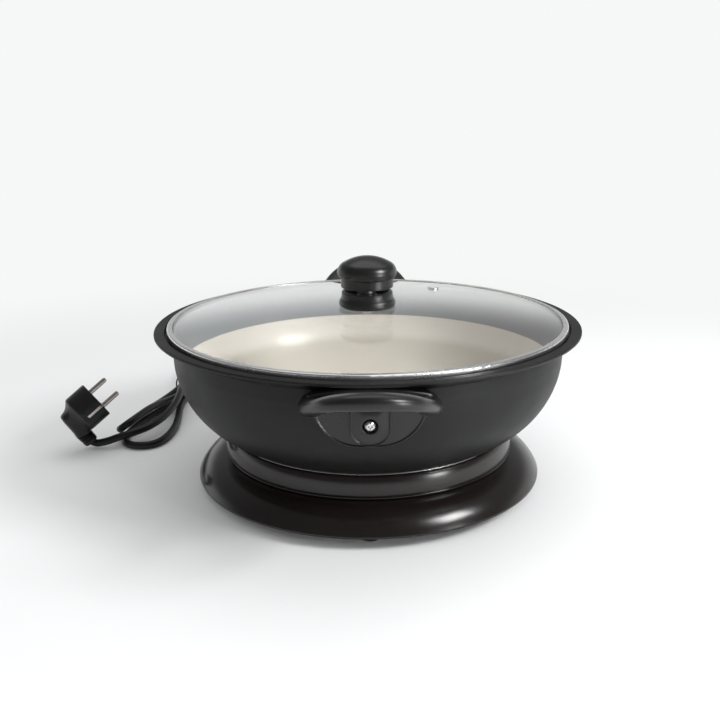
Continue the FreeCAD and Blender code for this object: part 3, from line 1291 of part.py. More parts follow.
# Checks, then one file for each sub-part
doc.recompute()
os.makedirs("parts", exist_ok=True)
faults = []
for item in doc.Objects:
    if any(word in item.State for word in ("Invalid", "Error")):
        faults.append(f"{item.Label}: {item.State}")
for label, item in made:
    if item.Shape.isNull() or not item.Shape.isValid() or not item.Shape.Solids:
        faults.append(f"{label}: bad shape")
if faults:
    raise RuntimeError("; ".join(faults))
for label, item in made:
    item.Shape.exportStep(f"parts/{label}.step")
    print(label, len(item.Shape.Solids), round(item.Shape.Volume / 1000.0, 2))
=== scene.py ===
import math
import bmesh
import bpy
from mathutils import Matrix, Vector


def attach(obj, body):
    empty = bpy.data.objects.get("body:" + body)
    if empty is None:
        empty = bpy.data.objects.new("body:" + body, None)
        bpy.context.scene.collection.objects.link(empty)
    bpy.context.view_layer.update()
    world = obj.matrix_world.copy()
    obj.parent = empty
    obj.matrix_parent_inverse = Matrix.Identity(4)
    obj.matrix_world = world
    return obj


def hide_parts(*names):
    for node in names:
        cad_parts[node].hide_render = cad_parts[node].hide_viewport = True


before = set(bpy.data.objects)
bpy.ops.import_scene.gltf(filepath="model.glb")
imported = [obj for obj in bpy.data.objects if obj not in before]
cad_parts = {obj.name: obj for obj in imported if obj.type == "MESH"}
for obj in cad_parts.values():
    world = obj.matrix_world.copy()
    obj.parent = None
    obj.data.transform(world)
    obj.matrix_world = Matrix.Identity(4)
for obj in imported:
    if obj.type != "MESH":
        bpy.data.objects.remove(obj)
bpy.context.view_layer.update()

# Camera: a little above the front handle, at the photograph's distance and with its slight roll.
# The lens is worked out for a 720 by 720 picture.
CAMERA_PLACE = Vector((-0.0066, -0.7572, 0.3267))
CAMERA_PITCH = math.radians(90.0 - 16.30)
CAMERA_ROLL = math.radians(-0.534)
CAMERA_LENS = 45.25
CAMERA_SENSOR = 36.0
camera_data = bpy.data.cameras.new("camera")
camera_data.lens = CAMERA_LENS
camera_data.sensor_width = CAMERA_SENSOR
camera = bpy.data.objects.new("camera", camera_data)
camera.matrix_world = (
    Matrix.Translation(CAMERA_PLACE)
    @ Matrix.Rotation(CAMERA_PITCH, 4, "X")
    @ Matrix.Rotation(CAMERA_ROLL, 4, "Z")
)
bpy.context.collection.objects.link(camera)
bpy.context.scene.camera = camera


# Room: a pale matt tabletop that runs out into a white backdrop. A soft box high on the right gives
# the main light and a low one beside it the highlights. A wide one above, a weak one on the left
# and an even room light fill the shadows.
BACKDROP = (0.925, 0.935, 0.93, 1.0)
ROOM_COLOUR = (1.0, 1.0, 1.0, 1.0)
ROOM_STRENGTH = 0.66
MIRRORED_ROOM = (0.14, 0.14, 0.145, 1.0)
MIRRORED_BEHIND = (-0.15, 0.45)
MIRRORED_HEIGHT = (0.10, 0.31)
MIRRORED_ABOVE = 0.12
TABLETOP_COLOUR = (0.83, 0.835, 0.84, 1.0)
TABLETOP_ROUGH = 0.6
TABLETOP_SPECULAR = 0.2
TABLETOP_FADE = (0.34, 1.05)
TABLETOP_REACH = 4.0
TABLETOP_SINK = 0.0002


def empty_tree(owner):
    """Node tree of a material or a world, cleared."""
    owner.use_nodes = True
    owner.node_tree.nodes.clear()
    return owner.node_tree


def feed(tree, socket, source):
    """Link a source socket to a socket, or set a plain value on it."""
    if isinstance(source, bpy.types.NodeSocket):
        tree.links.new(source, socket)
    else:
        socket.default_value = source


def calculated(tree, kind, first, second):
    """Result of a sum on two sockets or numbers."""
    node = tree.nodes.new("ShaderNodeMath")
    node.operation = kind
    feed(tree, node.inputs[0], first)
    feed(tree, node.inputs[1], second)
    return node.outputs[0]


def ranged(tree, value, start, end, low=0.0, high=1.0, easing="SMOOTHSTEP"):
    """A value carried over from the range start to end into the range low to high."""
    node = tree.nodes.new("ShaderNodeMapRange")
    node.interpolation_type = easing
    feed(tree, node.inputs["Value"], value)
    feed(tree, node.inputs["From Min"], start)
    feed(tree, node.inputs["From Max"], end)
    feed(tree, node.inputs["To Min"], low)
    feed(tree, node.inputs["To Max"], high)
    return node.outputs["Result"]


def mixed(tree, factor, first, second, kind="RGBA"):
    """Mix of two colours or numbers."""
    node = tree.nodes.new("ShaderNodeMix")
    node.data_type = kind
    feed(tree, node.inputs["Factor"], factor)
    feed(tree, node.inputs["A"], first)
    feed(tree, node.inputs["B"], second)
    return node.outputs["Result"]


def mixed_shaders(tree, factor, first, second):
    """The first shader where the factor is 0 and the second where it is 1."""
    node = tree.nodes.new("ShaderNodeMixShader")
    tree.links.new(factor, node.inputs["Fac"])
    tree.links.new(first.outputs[0], node.inputs[1])
    tree.links.new(second.outputs[0], node.inputs[2])
    return node.outputs[0]


def length_of(tree, vector):
    """Length of a vector."""
    node = tree.nodes.new("ShaderNodeVectorMath")
    node.operation = "LENGTH"
    tree.links.new(vector, node.inputs[0])
    return node.outputs["Value"]


def seen_directly(tree):
    """1 for camera, glossy and transmission rays, so that metal and glass show the backdrop too."""
    ray = tree.nodes.new("ShaderNodeLightPath")
    first = calculated(tree, "MAXIMUM", ray.outputs["Is Camera Ray"], ray.outputs["Is Glossy Ray"])
    return calculated(tree, "MAXIMUM", first, ray.outputs["Is Transmission Ray"])


room = bpy.data.worlds.new("room")
bpy.context.scene.world = room
tree = empty_tree(room)
room_light = tree.nodes.new("ShaderNodeBackground")
room_light.inputs["Color"].default_value = ROOM_COLOUR
room_light.inputs["Strength"].default_value = ROOM_STRENGTH
direction = tree.nodes.new("ShaderNodeTexCoord")
axis = tree.nodes.new("ShaderNodeSeparateXYZ")
tree.links.new(direction.outputs["Generated"], axis.inputs[0])
low_behind = calculated(
    tree, "MULTIPLY",
    ranged(tree, axis.outputs["Y"], *MIRRORED_BEHIND),
    ranged(tree, axis.outputs["Z"], *MIRRORED_HEIGHT, low=1.0, high=MIRRORED_ABOVE),
)
mirrored = mixed(tree, low_behind, MIRRORED_ROOM, BACKDROP)
ray = tree.nodes.new("ShaderNodeLightPath")
room_seen = tree.nodes.new("ShaderNodeBackground")
tree.links.new(mixed(tree, ray.outputs["Is Glossy Ray"], BACKDROP, mirrored), room_seen.inputs["Color"])
room_out = tree.nodes.new("ShaderNodeOutputWorld")
tree.links.new(mixed_shaders(tree, seen_directly(tree), room_light, room_seen), room_out.inputs["Surface"])

tabletop_finish = bpy.data.materials.new("tabletop_finish")
tree = empty_tree(tabletop_finish)
place = tree.nodes.new("ShaderNodeNewGeometry")
fade = ranged(tree, length_of(tree, place.outputs["Position"]), *TABLETOP_FADE, easing="SMOOTHERSTEP")
shown = calculated(tree, "MULTIPLY", fade, seen_directly(tree))
tabletop_matt = tree.nodes.new("ShaderNodeBsdfPrincipled")
tabletop_matt.inputs["Base Color"].default_value = TABLETOP_COLOUR
tabletop_matt.inputs["Roughness"].default_value = TABLETOP_ROUGH
tabletop_matt.inputs["Specular IOR Level"].default_value = TABLETOP_SPECULAR
tabletop_lit = tree.nodes.new("ShaderNodeEmission")
tabletop_lit.inputs["Color"].default_value = BACKDROP
tabletop_out = tree.nodes.new("ShaderNodeOutputMaterial")
tree.links.new(mixed_shaders(tree, shown, tabletop_matt, tabletop_lit), tabletop_out.inputs["Surface"])
tabletop_mesh = bpy.data.meshes.new("tabletop")
tabletop_mesh.from_pydata([
    (-TABLETOP_REACH, -TABLETOP_REACH, 0), (TABLETOP_REACH, -TABLETOP_REACH, 0),
    (TABLETOP_REACH, TABLETOP_REACH, 0), (-TABLETOP_REACH, TABLETOP_REACH, 0),
], [], [(0, 1, 2, 3)])
tabletop = bpy.data.objects.new("tabletop", tabletop_mesh)
tabletop.location.z = -TABLETOP_SINK
bpy.context.collection.objects.link(tabletop)
tabletop_mesh.materials.append(tabletop_finish)


def soft_box(name, place, aim, width, depth, power):
    """Area lamp of a given size in metres and power in watts, turned towards its aim."""
    lamp = bpy.data.lights.new(name, "AREA")
    lamp.shape = "RECTANGLE"
    lamp.size = width
    lamp.size_y = depth
    lamp.energy = power
    holder = bpy.data.objects.new(name, lamp)
    holder.location = place
    holder.rotation_euler = (Vector(aim) - Vector(place)).to_track_quat("-Z", "Y").to_euler()
    bpy.context.collection.objects.link(holder)
    return holder


soft_box("box_right", place=(1.02, -0.56, 0.98), aim=(0.0, 0.0, 0.08), width=0.46, depth=0.37, power=15.5)
soft_box("box_low", place=(1.12, -0.90, 0.24), aim=(0.0, -0.1, 0.04), width=0.26, depth=0.40, power=7.0)
soft_box("box_above", place=(0.1, 0.5, 1.5), aim=(0.0, 0.0, 0.1), width=1.6, depth=1.0, power=5.0)
box_left = soft_box(
    "box_left", place=(-1.1, -0.6, 0.8), aim=(0.0, 0.0, 0.08), width=0.5, depth=0.8, power=1.6,
)
box_left.visible_glossy = False


# Pan: a wok pan die-cast in aluminium, with the lid's ledge, the heater's channel and the posts in
# one casting. A matt black coat is sprayed outside and over the rim, and the bowl has a cream
# ceramic coat up to a line below the ledge, painted darker low in the bowl as painted shade.
# Above the line the bowl's wall is painted bluish grey, a painted reflection of the white backdrop.
GRAIN_SCALE = 900.0
SMEAR_SCALE = 22.0
NOISE_ROUGH = 0.6
SMEAR_RANGE = (0.3, 0.7)
BOWL_ARC_PLACE = 0.0883
BOWL_ARC_RADIUS = 0.0770
BOWL_COAT_RADIUS = 0.0753
BELLY_HEIGHT = 0.120
BOWL_FLOOR = 0.0445
CREAM_LINE = 0.1065
# Below these heights the cream is painted darker: painted shade low in the bowl.
CREAM_PAINTED_SHADE_SPAN = (0.080, 0.090)
CREAM_PAINTED_SHADE_COLOUR = (0.64, 0.58, 0.50, 1.0)
CREAM_HIGH = (0.83, 0.76, 0.69, 1.0)
CREAM_ROUGH = 0.22
# Bluish grey painted on the bowl's wall above the cream line: a painted reflection of the white backdrop.
UPPER_PAINTED_REFLECTION = (0.25, 0.255, 0.27, 1.0)


def grain_group():
    """Fine grain height and soft smear mask over a surface, from the place on the object."""
    group = bpy.data.node_groups.new("surface_grain", "ShaderNodeTree")
    sockets = group.interface
    for name, value in (("Grain Scale", GRAIN_SCALE), ("Smear Scale", SMEAR_SCALE)):
        socket = sockets.new_socket(name, in_out="INPUT", socket_type="NodeSocketFloat")
        socket.default_value = value
    for name in ("Grain", "Smear"):
        sockets.new_socket(name, in_out="OUTPUT", socket_type="NodeSocketFloat")
    nodes, links = group.nodes, group.links
    given = nodes.new("NodeGroupInput")
    result = nodes.new("NodeGroupOutput")
    where = nodes.new("ShaderNodeTexCoord")
    for scale, output, detail in (("Grain Scale", "Grain", 3.0), ("Smear Scale", "Smear", 5.0)):
        noise = nodes.new("ShaderNodeTexNoise")
        noise.inputs["Detail"].default_value = detail
        noise.inputs["Roughness"].default_value = NOISE_ROUGH
        links.new(where.outputs["Object"], noise.inputs["Vector"])
        links.new(given.outputs[scale], noise.inputs["Scale"])
        links.new(noise.outputs["Fac"], result.inputs[output])
    return group


GRAIN = grain_group()


def finish(name, colour, rough, grain=GRAIN_SCALE, bump=0.05, deep=0.00002, smear=SMEAR_SCALE,
           spread=0.06, mottle=0.12, **shader):
    """Principled material with grain bump, smeared roughness and slight mottling of the colour."""
    material = bpy.data.materials.new(name)
    tree = empty_tree(material)
    skin = tree.nodes.new("ShaderNodeBsdfPrincipled")
    for socket, value in shader.items():
        skin.inputs[socket.replace("_", " ")].default_value = value
    surface = tree.nodes.new("ShaderNodeGroup")
    surface.node_tree = GRAIN
    surface.inputs["Grain Scale"].default_value = grain
    surface.inputs["Smear Scale"].default_value = smear
    smeared = ranged(
        tree, surface.outputs["Smear"], *SMEAR_RANGE,
        low=max(rough - spread, 0.0), high=rough + spread, easing="LINEAR",
    )
    tree.links.new(smeared, skin.inputs["Roughness"])
    darker = (*[part * (1.0 - mottle) for part in colour], 1.0)
    lighter = (*[min(part * (1.0 + mottle), 1.0) for part in colour], 1.0)
    tree.links.new(mixed(tree, surface.outputs["Grain"], darker, lighter), skin.inputs["Base Color"])
    relief = tree.nodes.new("ShaderNodeBump")
    relief.inputs["Strength"].default_value = bump
    relief.inputs["Distance"].default_value = deep
    tree.links.new(surface.outputs["Grain"], relief.inputs["Height"])
    tree.links.new(relief.outputs["Normal"], skin.inputs["Normal"])
    out = tree.nodes.new("ShaderNodeOutputMaterial")
    tree.links.new(skin.outputs["BSDF"], out.inputs["Surface"])
    return material


def dress(material, *names):
    """Give CAD nodes a material of their own."""
    for name in names:
        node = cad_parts[name]
        node.data.materials.clear()
        node.data.materials.append(material)


def across_both(tree, first, second):
    """Length of a vector that has two given parts."""
    pair = tree.nodes.new("ShaderNodeCombineXYZ")
    tree.links.new(first, pair.inputs["X"])
    tree.links.new(second, pair.inputs["Y"])
    return length_of(tree, pair.outputs[0])


def pan_finish():
    """Black coat outside and on the rim; in the bowl, cream with painted shade below the line, painted grey
    reflection above.
    """
    material = finish(
        "pan_coat", colour=(0.0065, 0.0065, 0.007), rough=0.48, grain=1400.0, bump=0.35, spread=0.05,
        Specular_IOR_Level=0.28,
    )
    tree = material.node_tree
    skin = tree.nodes["Principled BSDF"]
    black = skin.inputs["Base Color"].links[0].from_socket
    rough = skin.inputs["Roughness"].links[0].from_socket
    where = tree.nodes.new("ShaderNodeTexCoord")
    split = tree.nodes.new("ShaderNodeSeparateXYZ")
    tree.links.new(where.outputs["Object"], split.inputs[0])
    radius = across_both(tree, split.outputs["X"], split.outputs["Y"])
    height = split.outputs["Z"]
    beyond = calculated(tree, "MAXIMUM", calculated(tree, "SUBTRACT", radius, BOWL_ARC_PLACE), 0.0)
    below = calculated(tree, "MINIMUM", calculated(tree, "SUBTRACT", height, BELLY_HEIGHT), 0.0)
    within = calculated(tree, "LESS_THAN", across_both(tree, beyond, below), BOWL_COAT_RADIUS)
    above_floor = calculated(tree, "GREATER_THAN", height, BOWL_FLOOR)
    bowl = calculated(tree, "MULTIPLY", within, above_floor)
    cream = calculated(tree, "MULTIPLY", bowl, calculated(tree, "LESS_THAN", height, CREAM_LINE))
    # The cream is painted darker low in the bowl, a painted shade.
    cream_with_painted_shade = mixed(tree, ranged(tree, height, *CREAM_PAINTED_SHADE_SPAN), CREAM_PAINTED_SHADE_COLOUR, CREAM_HIGH)
    # Above the cream line the bowl's wall takes the painted grey reflection.
    black_or_painted_reflection = mixed(tree, bowl, black, UPPER_PAINTED_REFLECTION)
    tree.links.new(mixed(tree, cream, black_or_painted_reflection, cream_with_painted_shade), skin.inputs["Base Color"])
    tree.links.new(mixed(tree, cream, rough, CREAM_ROUGH, kind="FLOAT"), skin.inputs["Roughness"])
    return material


dress(pan_finish(), "pan_body")


# Heater: a steel-sheathed element cast into the pan's underside. Its ends come out through ceramic
# beads as two nickel-plated pins in a folded steel guard, which two screws hold to the casting.
sheath = finish("heater_sheath", colour=(0.30, 0.29, 0.28), rough=0.4, Metallic=1.0)
dress(sheath, "heating_element")
ceramic = finish("ceramic_bead", colour=(0.80, 0.78, 0.72), rough=0.5)
dress(ceramic, "terminal_insulators")
nickel = finish("nickel_plate", colour=(0.70, 0.64, 0.59), rough=0.22, bump=0.05, Metallic=1.0)
dress(nickel, "terminal_pins")
steel_sheet = finish("steel_sheet", colour=(0.60, 0.60, 0.61), rough=0.24, bump=0.05, Metallic=1.0)
dress(steel_sheet, "terminal_guard")
screw_steel = finish("screw_steel", colour=(0.70, 0.69, 0.68), rough=0.2, bump=0.05, Metallic=1.0)
dress(screw_steel, "guard_screws")


# Base: two tiers moulded in glossy black phenolic, the collar standing on the skirt. Screws from
# below go through both into the pan's posts. The collar has a rounded shoulder and a thin rolled
# edge in bright metal, a painted highlight on the black lip; both are open at the back, where the
# controller's socket is.
BASE_COLOUR = (0.0075, 0.0055, 0.0048)
EDGE_RADIUS = 0.1205
EDGE_HEIGHT = 0.0494
EDGE_THICK = 0.0007
COLLAR_BACK = math.radians(90.0)
COLLAR_OPENING = math.radians(19.0)
COLLAR_STEPS = 120
EIGHTHS = [index * math.pi / 4 for index in range(8)]


def moulding(name, runs, material, slot, body, *replaced):
    """One smooth mesh from runs of rings; each run is skinned ring to ring and capped if asked."""
    form = bmesh.new()
    for rings, closed, first_cap, last_cap in runs:
        rows = [[form.verts.new(point) for point in ring] for ring in rings]
        for low, high in zip(rows, rows[1:]):
            for index in range(len(low) if closed else len(low) - 1):
                after = (index + 1) % len(low)
                form.faces.new((low[index], low[after], high[after], high[index]))
        if first_cap:
            form.faces.new(rows[0][::-1])
        if last_cap:
            form.faces.new(rows[-1])
    bmesh.ops.recalc_face_normals(form, faces=form.faces)
    mesh = bpy.data.meshes.new(name)
    form.to_mesh(mesh)
    form.free()
    mesh.shade_smooth()
    mesh.materials.append(material)
    piece = bpy.data.objects.new(name, mesh)
    bpy.context.collection.objects.link(piece)
    rounder = piece.modifiers.new("rounding", "SUBSURF")
    rounder.levels = 1
    rounder.render_levels = 1
    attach(piece, body)
    if replaced:
        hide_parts(*replaced)


base_gloss = finish(
    "base_gloss", colour=BASE_COLOUR, rough=0.21, grain=2600.0, bump=0.3, deep=0.000008, smear=9.0,
    spread=0.05, mottle=0.3, Specular_IOR_Level=0.5,
)
dress(base_gloss, "base_collar", "base_skirt")
# The edge's bright metal finish is a painted highlight on the black phenolic lip.
lip_painted_highlight = finish("lip_painted_highlight", colour=(0.42, 0.41, 0.40), rough=0.3, bump=0.1, Metallic=0.9)
SHOULDER_PROFILE = (
    (0.1207, 0.0495), (0.1217, 0.0493), (0.1229, 0.0482), (0.1240, 0.0458), (0.1248, 0.0420),
    (0.1253, 0.0375), (0.1254, 0.0340), (0.1250, 0.0316), (0.1239, 0.0316), (0.1222, 0.0400),
    (0.1204, 0.0490),
)
edge_rings, shoulder_rings = [], []
for step in range(COLLAR_STEPS + 1):
    turn = COLLAR_BACK + COLLAR_OPENING + (2.0 * math.pi - 2.0 * COLLAR_OPENING) * step / COLLAR_STEPS
    outward = Vector((math.cos(turn), math.sin(turn), 0.0))
    edge_rings.append([
        outward * (EDGE_RADIUS + EDGE_THICK * math.cos(angle))
        + Vector((0, 0, EDGE_HEIGHT + EDGE_THICK * math.sin(angle)))
        for angle in EIGHTHS
    ])
    shoulder_rings.append([
        outward * radius + Vector((0, 0, height)) for radius, height in SHOULDER_PROFILE
    ])
moulding("collar_shoulder", [(shoulder_rings, True, True, True)], base_gloss, "base_gloss", "cooker")
moulding("collar_edge", [(edge_rings, True, True, True)], lip_painted_highlight, "base_gloss", "cooker")
dress(screw_steel, "base_screws")


# Feet: four feet moulded in black rubber, which stand under the skirt and carry the whole cooker.
# Each is held to the skirt by its own screw.
rubber = finish("foot_rubber", colour=(0.014, 0.014, 0.014), rough=0.65, bump=0.4)
dress(rubber, "feet")
dress(screw_steel, "foot_screws")


# Handles: two loops moulded in speckled black phenolic, one piece each with the shield plate that
# lies on the wall and the raised pad round the screw. One screw in a deep recess holds each loop.
GRIP_OUTER = (
    (0.0478, 0.1566), (0.0492, 0.170), (0.0485, 0.187), (0.0436, 0.2065), (0.0328, 0.2255),
    (0.0170, 0.2365), (0.0, 0.2395),
)
GRIP_INNER = (
    (0.0290, 0.1608), (0.0288, 0.172), (0.0286, 0.183), (0.0270, 0.1975), (0.0208, 0.2125),
    (0.0105, 0.2222), (0.0, 0.2250),
)
GRIP_RISE = (
    (0.150, 0.1280), (0.170, 0.1300), (0.185, 0.1325), (0.200, 0.1378), (0.216, 0.1448),
    (0.232, 0.1517), (0.240, 0.1545),
)
GRIP_ARM_THIN = 0.0007
GRIP_ARM_SQUARE = 2.0 / 2.05
GRIP_ARM_START = 0.212
GRIP_ARM_LENGTH = 0.035
GRIP_HALF_HIGH = 0.0056
GRIP_ROOT_DROOP = 0.0042
GRIP_DROOP_START = 0.160
GRIP_DROOP_LENGTH = 0.055
GRIP_SQUARE = 2.0 / 2.5
GRIP_POINTS = 20
LINE_STEPS = 5
SHIELD_MIDDLE = 0.112
SHIELD_OUTLINE = (
    (0.0, 0.0886), (0.012, 0.0891), (0.022, 0.0922), (0.031, 0.0990), (0.0372, 0.1075),
    (0.0402, 0.1160), (0.0420, 0.1250), (0.0330, 0.1308), (0.0180, 0.1342), (0.0, 0.1352),
)
SHIELD_LAYERS = (
    (0.05, 0.0040), (0.35, 0.0040), (0.70, 0.0039), (0.90, 0.0037), (0.935, 0.0037), (0.955, 0.0051),
    (0.982, 0.0053), (0.998, 0.0038), (1.0, -0.0006),
)
WEB_TURN = math.radians(14.6)
WEB_OUT, WEB_IN = 0.1770, 0.1650
WEB_TOP, WEB_LOW = 0.1374, 0.1220
WEB_FALL = 0.0068
WEB_SQUARE = 2.0 / 5.0
WEB_STEPS = 24
SCREW_HEIGHT = 0.108
RECESS_RADIUS = 0.0054
RECESS_FLOOR = 0.0062
RECESS_CENTRE = 0.001
PAD_HALF = 0.0146
PAD_ROUND_MIDDLE = 0.1052
PAD_TOP = 0.1270
PAD_RAYS = 64
LEAST_PART = 0.01
PAD_LAYERS = (
    (0.0, RECESS_FLOOR), (0.0, 0.0088), (0.05, 0.0094), (0.30, 0.0088), (0.75, 0.0072), (0.86, 0.0070),
    (0.91, 0.0084), (0.97, 0.0085), (1.0, 0.0066), (1.0, 0.0030),
)


def smooth_line(points):
    """Points along a smooth line through the given ones."""
    points = [Vector(point) for point in points]
    line = []
    for index in range(len(points) - 1):
        before, start = points[max(index - 1, 0)], points[index]
        end, after = points[index + 1], points[min(index + 2, len(points) - 1)]
        for step in range(LINE_STEPS):
            part = step / LINE_STEPS
            line.append(0.5 * (
                start * 2.0 + (end - before) * part
                + (before * 2.0 - start * 5.0 + end * 4.0 - after) * part ** 2
                + (start * 3.0 - before - end * 3.0 + after) * part ** 3
            ))
    return line + [points[-1]]


def mirrored_line(points):
    """A smooth line from the right-hand end over the middle to the left-hand end."""
    return smooth_line(list(points) + [(-across, along) for across, along in reversed(points[:-1])])


def grip_top(out):
    """Height of the loop's top at a distance out from the pan's axis."""
    for (low, low_top), (high, high_top) in zip(GRIP_RISE, GRIP_RISE[1:]):
        if out <= high:
            return low_top + (high_top - low_top) * (out - low) / (high - low)
    return GRIP_RISE[-1][1]


def bulge(angle, power):
    """Cosine and sine drawn out towards a square."""
    return [math.copysign(abs(part) ** power, part) for part in (math.cos(angle), math.sin(angle))]


def grip_rings():
    """The drooping loop, from one root on the wall round to the other."""
    rings = []
    for outer, inner in zip(mirrored_line(GRIP_OUTER), mirrored_line(GRIP_INNER)):
        middle, half = (outer + inner) / 2.0, (outer - inner) / 2.0
        droop = GRIP_ROOT_DROOP * max(0.0, 1.0 - (middle.y - GRIP_DROOP_START) / GRIP_DROOP_LENGTH)
        arm = min(max((GRIP_ARM_START - middle.y) / GRIP_ARM_LENGTH, 0.0), 1.0)
        square = GRIP_SQUARE + (GRIP_ARM_SQUARE - GRIP_SQUARE) * arm
        ring = []
        for index in range(GRIP_POINTS):
            side, up = bulge(2.0 * math.pi * index / GRIP_POINTS, square)
            place = middle + half * side
            high = GRIP_HALF_HIGH - GRIP_ARM_THIN * arm + (droop if up < 0.0 else 0.0)
            ring.append(Vector((place.x, -place.y, grip_top(middle.y) - GRIP_HALF_HIGH + high * up)))
        rings.append(ring)
    return rings


def on_wall(across, height, thick):
    """Place at a given thickness over the pan's outer wall, in front of it."""
    drop = max(BELLY_HEIGHT - height, 0.0)
    radius = BOWL_ARC_PLACE + math.sqrt(BOWL_ARC_RADIUS ** 2 - drop ** 2) + thick
    return Vector((across, -math.sqrt(radius ** 2 - across ** 2), height))


def shield_rings():
    """The shield plate on the wall, with the fine bead near its edge."""
    right = smooth_line(SHIELD_OUTLINE)
    outline = right + [Vector((-point.x, point.y)) for point in reversed(right[1:-1])]
    middle = Vector((0.0, SHIELD_MIDDLE))
    return [
        [on_wall(*(middle + (point - middle) * share), thick) for point in outline]
        for share, thick in SHIELD_LAYERS
    ]


def web_rings():
    """The loop's back edge, which lies on the wall close under the pan's rim."""
    rings = []
    for step in range(WEB_STEPS + 1):
        turn = WEB_TURN * (2.0 * step / WEB_STEPS - 1.0)
        ring = []
        for index in range(GRIP_POINTS):
            side, up = bulge(2.0 * math.pi * index / GRIP_POINTS, WEB_SQUARE)
            radius = (WEB_OUT + WEB_IN + (WEB_OUT - WEB_IN) * side) / 2.0
            top = WEB_TOP - WEB_FALL * (turn / WEB_TURN) ** 2
            height = (top + WEB_LOW + (top - WEB_LOW) * up) / 2.0
            ring.append(Vector((radius * math.sin(turn), -radius * math.cos(turn), height)))
        rings.append(ring)
    return rings


def pad_rings():
    """The raised pad, round below and square above, from the floor of the screw's recess outwards."""
    rays = []
    for index in range(PAD_RAYS):
        angle = 2.0 * math.pi * index / PAD_RAYS
        side, up = math.cos(angle), math.sin(angle)
        drop = SCREW_HEIGHT - PAD_ROUND_MIDDLE
        reach = -drop * up + math.sqrt((drop * up) ** 2 + PAD_HALF ** 2 - drop ** 2)
        if SCREW_HEIGHT + reach * up > PAD_ROUND_MIDDLE:
            reach = PAD_HALF / max(abs(side), LEAST_PART)
            if up > 0.0:
                reach = min(reach, (PAD_TOP - SCREW_HEIGHT) / max(up, LEAST_PART))
        rays.append((side, up, reach))
    rings = [[
        on_wall(side * RECESS_CENTRE, SCREW_HEIGHT + up * RECESS_CENTRE, RECESS_FLOOR)
        for side, up, reach in rays
    ]]
    for share, thick in PAD_LAYERS:
        rings.append([
            on_wall(side * length, SCREW_HEIGHT + up * length, thick)
            for side, up, length in (
                (side, up, RECESS_RADIUS + (reach - RECESS_RADIUS) * share) for side, up, reach in rays
            )
        ])
    return rings


bakelite = finish(
    "bakelite", colour=(0.0075, 0.0075, 0.0080), rough=0.31, grain=2200.0, bump=0.5, deep=0.000015,
    mottle=0.3, Specular_IOR_Level=0.5,
)
handle_runs = [
    (grip_rings(), True, True, True), (web_rings(), True, True, True),
    (shield_rings(), True, True, False), (pad_rings(), True, True, False),
]
moulding("front_loop", handle_runs, bakelite, "bakelite", "cooker", "handle_front")
half_turn = Matrix.Rotation(math.pi, 4, "Z")
moulding("rear_loop", [
    ([[half_turn @ point for point in ring] for ring in rings], closed, first_cap, last_cap)
    for rings, closed, first_cap, last_cap in handle_runs
], bakelite, "bakelite", "cooker", "handle_rear")
dress(screw_steel, "handle_screws")


# Lid: a shallow dome of toughened clear glass in a rolled band of polished stainless steel, with a
# steel eyelet for the steam. It lies loose in the ledge inside the pan's rim.
GLASS_COLOUR = (0.97, 0.99, 0.985, 1.0)
GLASS_SHADOW = (0.95, 0.97, 0.965, 1.0)
GLASS_IOR = 1.5


def clear_glass(name):
    """Clear glass that lets the lamps' light through to what is under it."""
    material = bpy.data.materials.new(name)
    tree = empty_tree(material)
    skin = tree.nodes.new("ShaderNodeBsdfPrincipled")
    skin.inputs["Base Color"].default_value = GLASS_COLOUR
    skin.inputs["Roughness"].default_value = 0.0
    skin.inputs["IOR"].default_value = GLASS_IOR
    skin.inputs["Transmission Weight"].default_value = 1.0
    through = tree.nodes.new("ShaderNodeBsdfTransparent")
    through.inputs["Color"].default_value = GLASS_SHADOW
    ray = tree.nodes.new("ShaderNodeLightPath")
    out = tree.nodes.new("ShaderNodeOutputMaterial")
    glass = mixed_shaders(tree, ray.outputs["Is Shadow Ray"], skin, through)
    tree.links.new(glass, out.inputs["Surface"])
    return material


dress(clear_glass("lid_clear"), "lid_glass")
lid_steel = finish(
    "lid_steel", colour=(0.93, 0.92, 0.91), rough=0.26, bump=0.05, smear=12.0, spread=0.05, Metallic=1.0,
)
dress(lid_steel, "lid_rim", "vent_grommet")


# Knob: a collar and a cap moulded in black phenolic, with a bare steel stem between them. A screw
# from under the glass, on a silicone washer, holds the three.
dress(bakelite, "knob_cap", "knob_collar")
stem_steel = finish("stem_steel", colour=(0.66, 0.64, 0.61), rough=0.34, bump=0.1, Metallic=1.0)
dress(stem_steel, "knob_stem")
dress(screw_steel, "knob_screw")
silicone = finish("silicone", colour=(0.75, 0.75, 0.72), rough=0.45)
dress(silicone, "knob_washer")


# Controller: two moulded shells on the socket behind the pan, with the contacts, the thermostat's
# probe and switch, the pilot lens and the cord's strain relief. Two screws close the shells.
case_black = finish(
    "controller_case", colour=(0.011, 0.011, 0.0115), rough=0.34, bump=0.3, Specular_IOR_Level=0.4,
)
dress(case_black, "controller_base", "controller_cover", "contact_block")
dress(screw_steel, "controller_screws")
dress(steel_sheet, "thermostat_probe", "thermostat_bracket")
switch_copper = finish("switch_copper", colour=(0.75, 0.45, 0.25), rough=0.25, Metallic=1.0)
dress(switch_copper, "contact_sleeves", "switch_blades")
pilot_red = finish("pilot_red", colour=(0.55, 0.02, 0.01), rough=0.12, Transmission_Weight=0.4)
dress(pilot_red, "pilot_lens")


# Dial: a ribbed knob moulded in black phenolic, pressed on the thermostat's steel shaft. It turns
# on the controller to set the heat.
dress(bakelite, "dial_knob")
dress(steel_sheet, "dial_shaft")


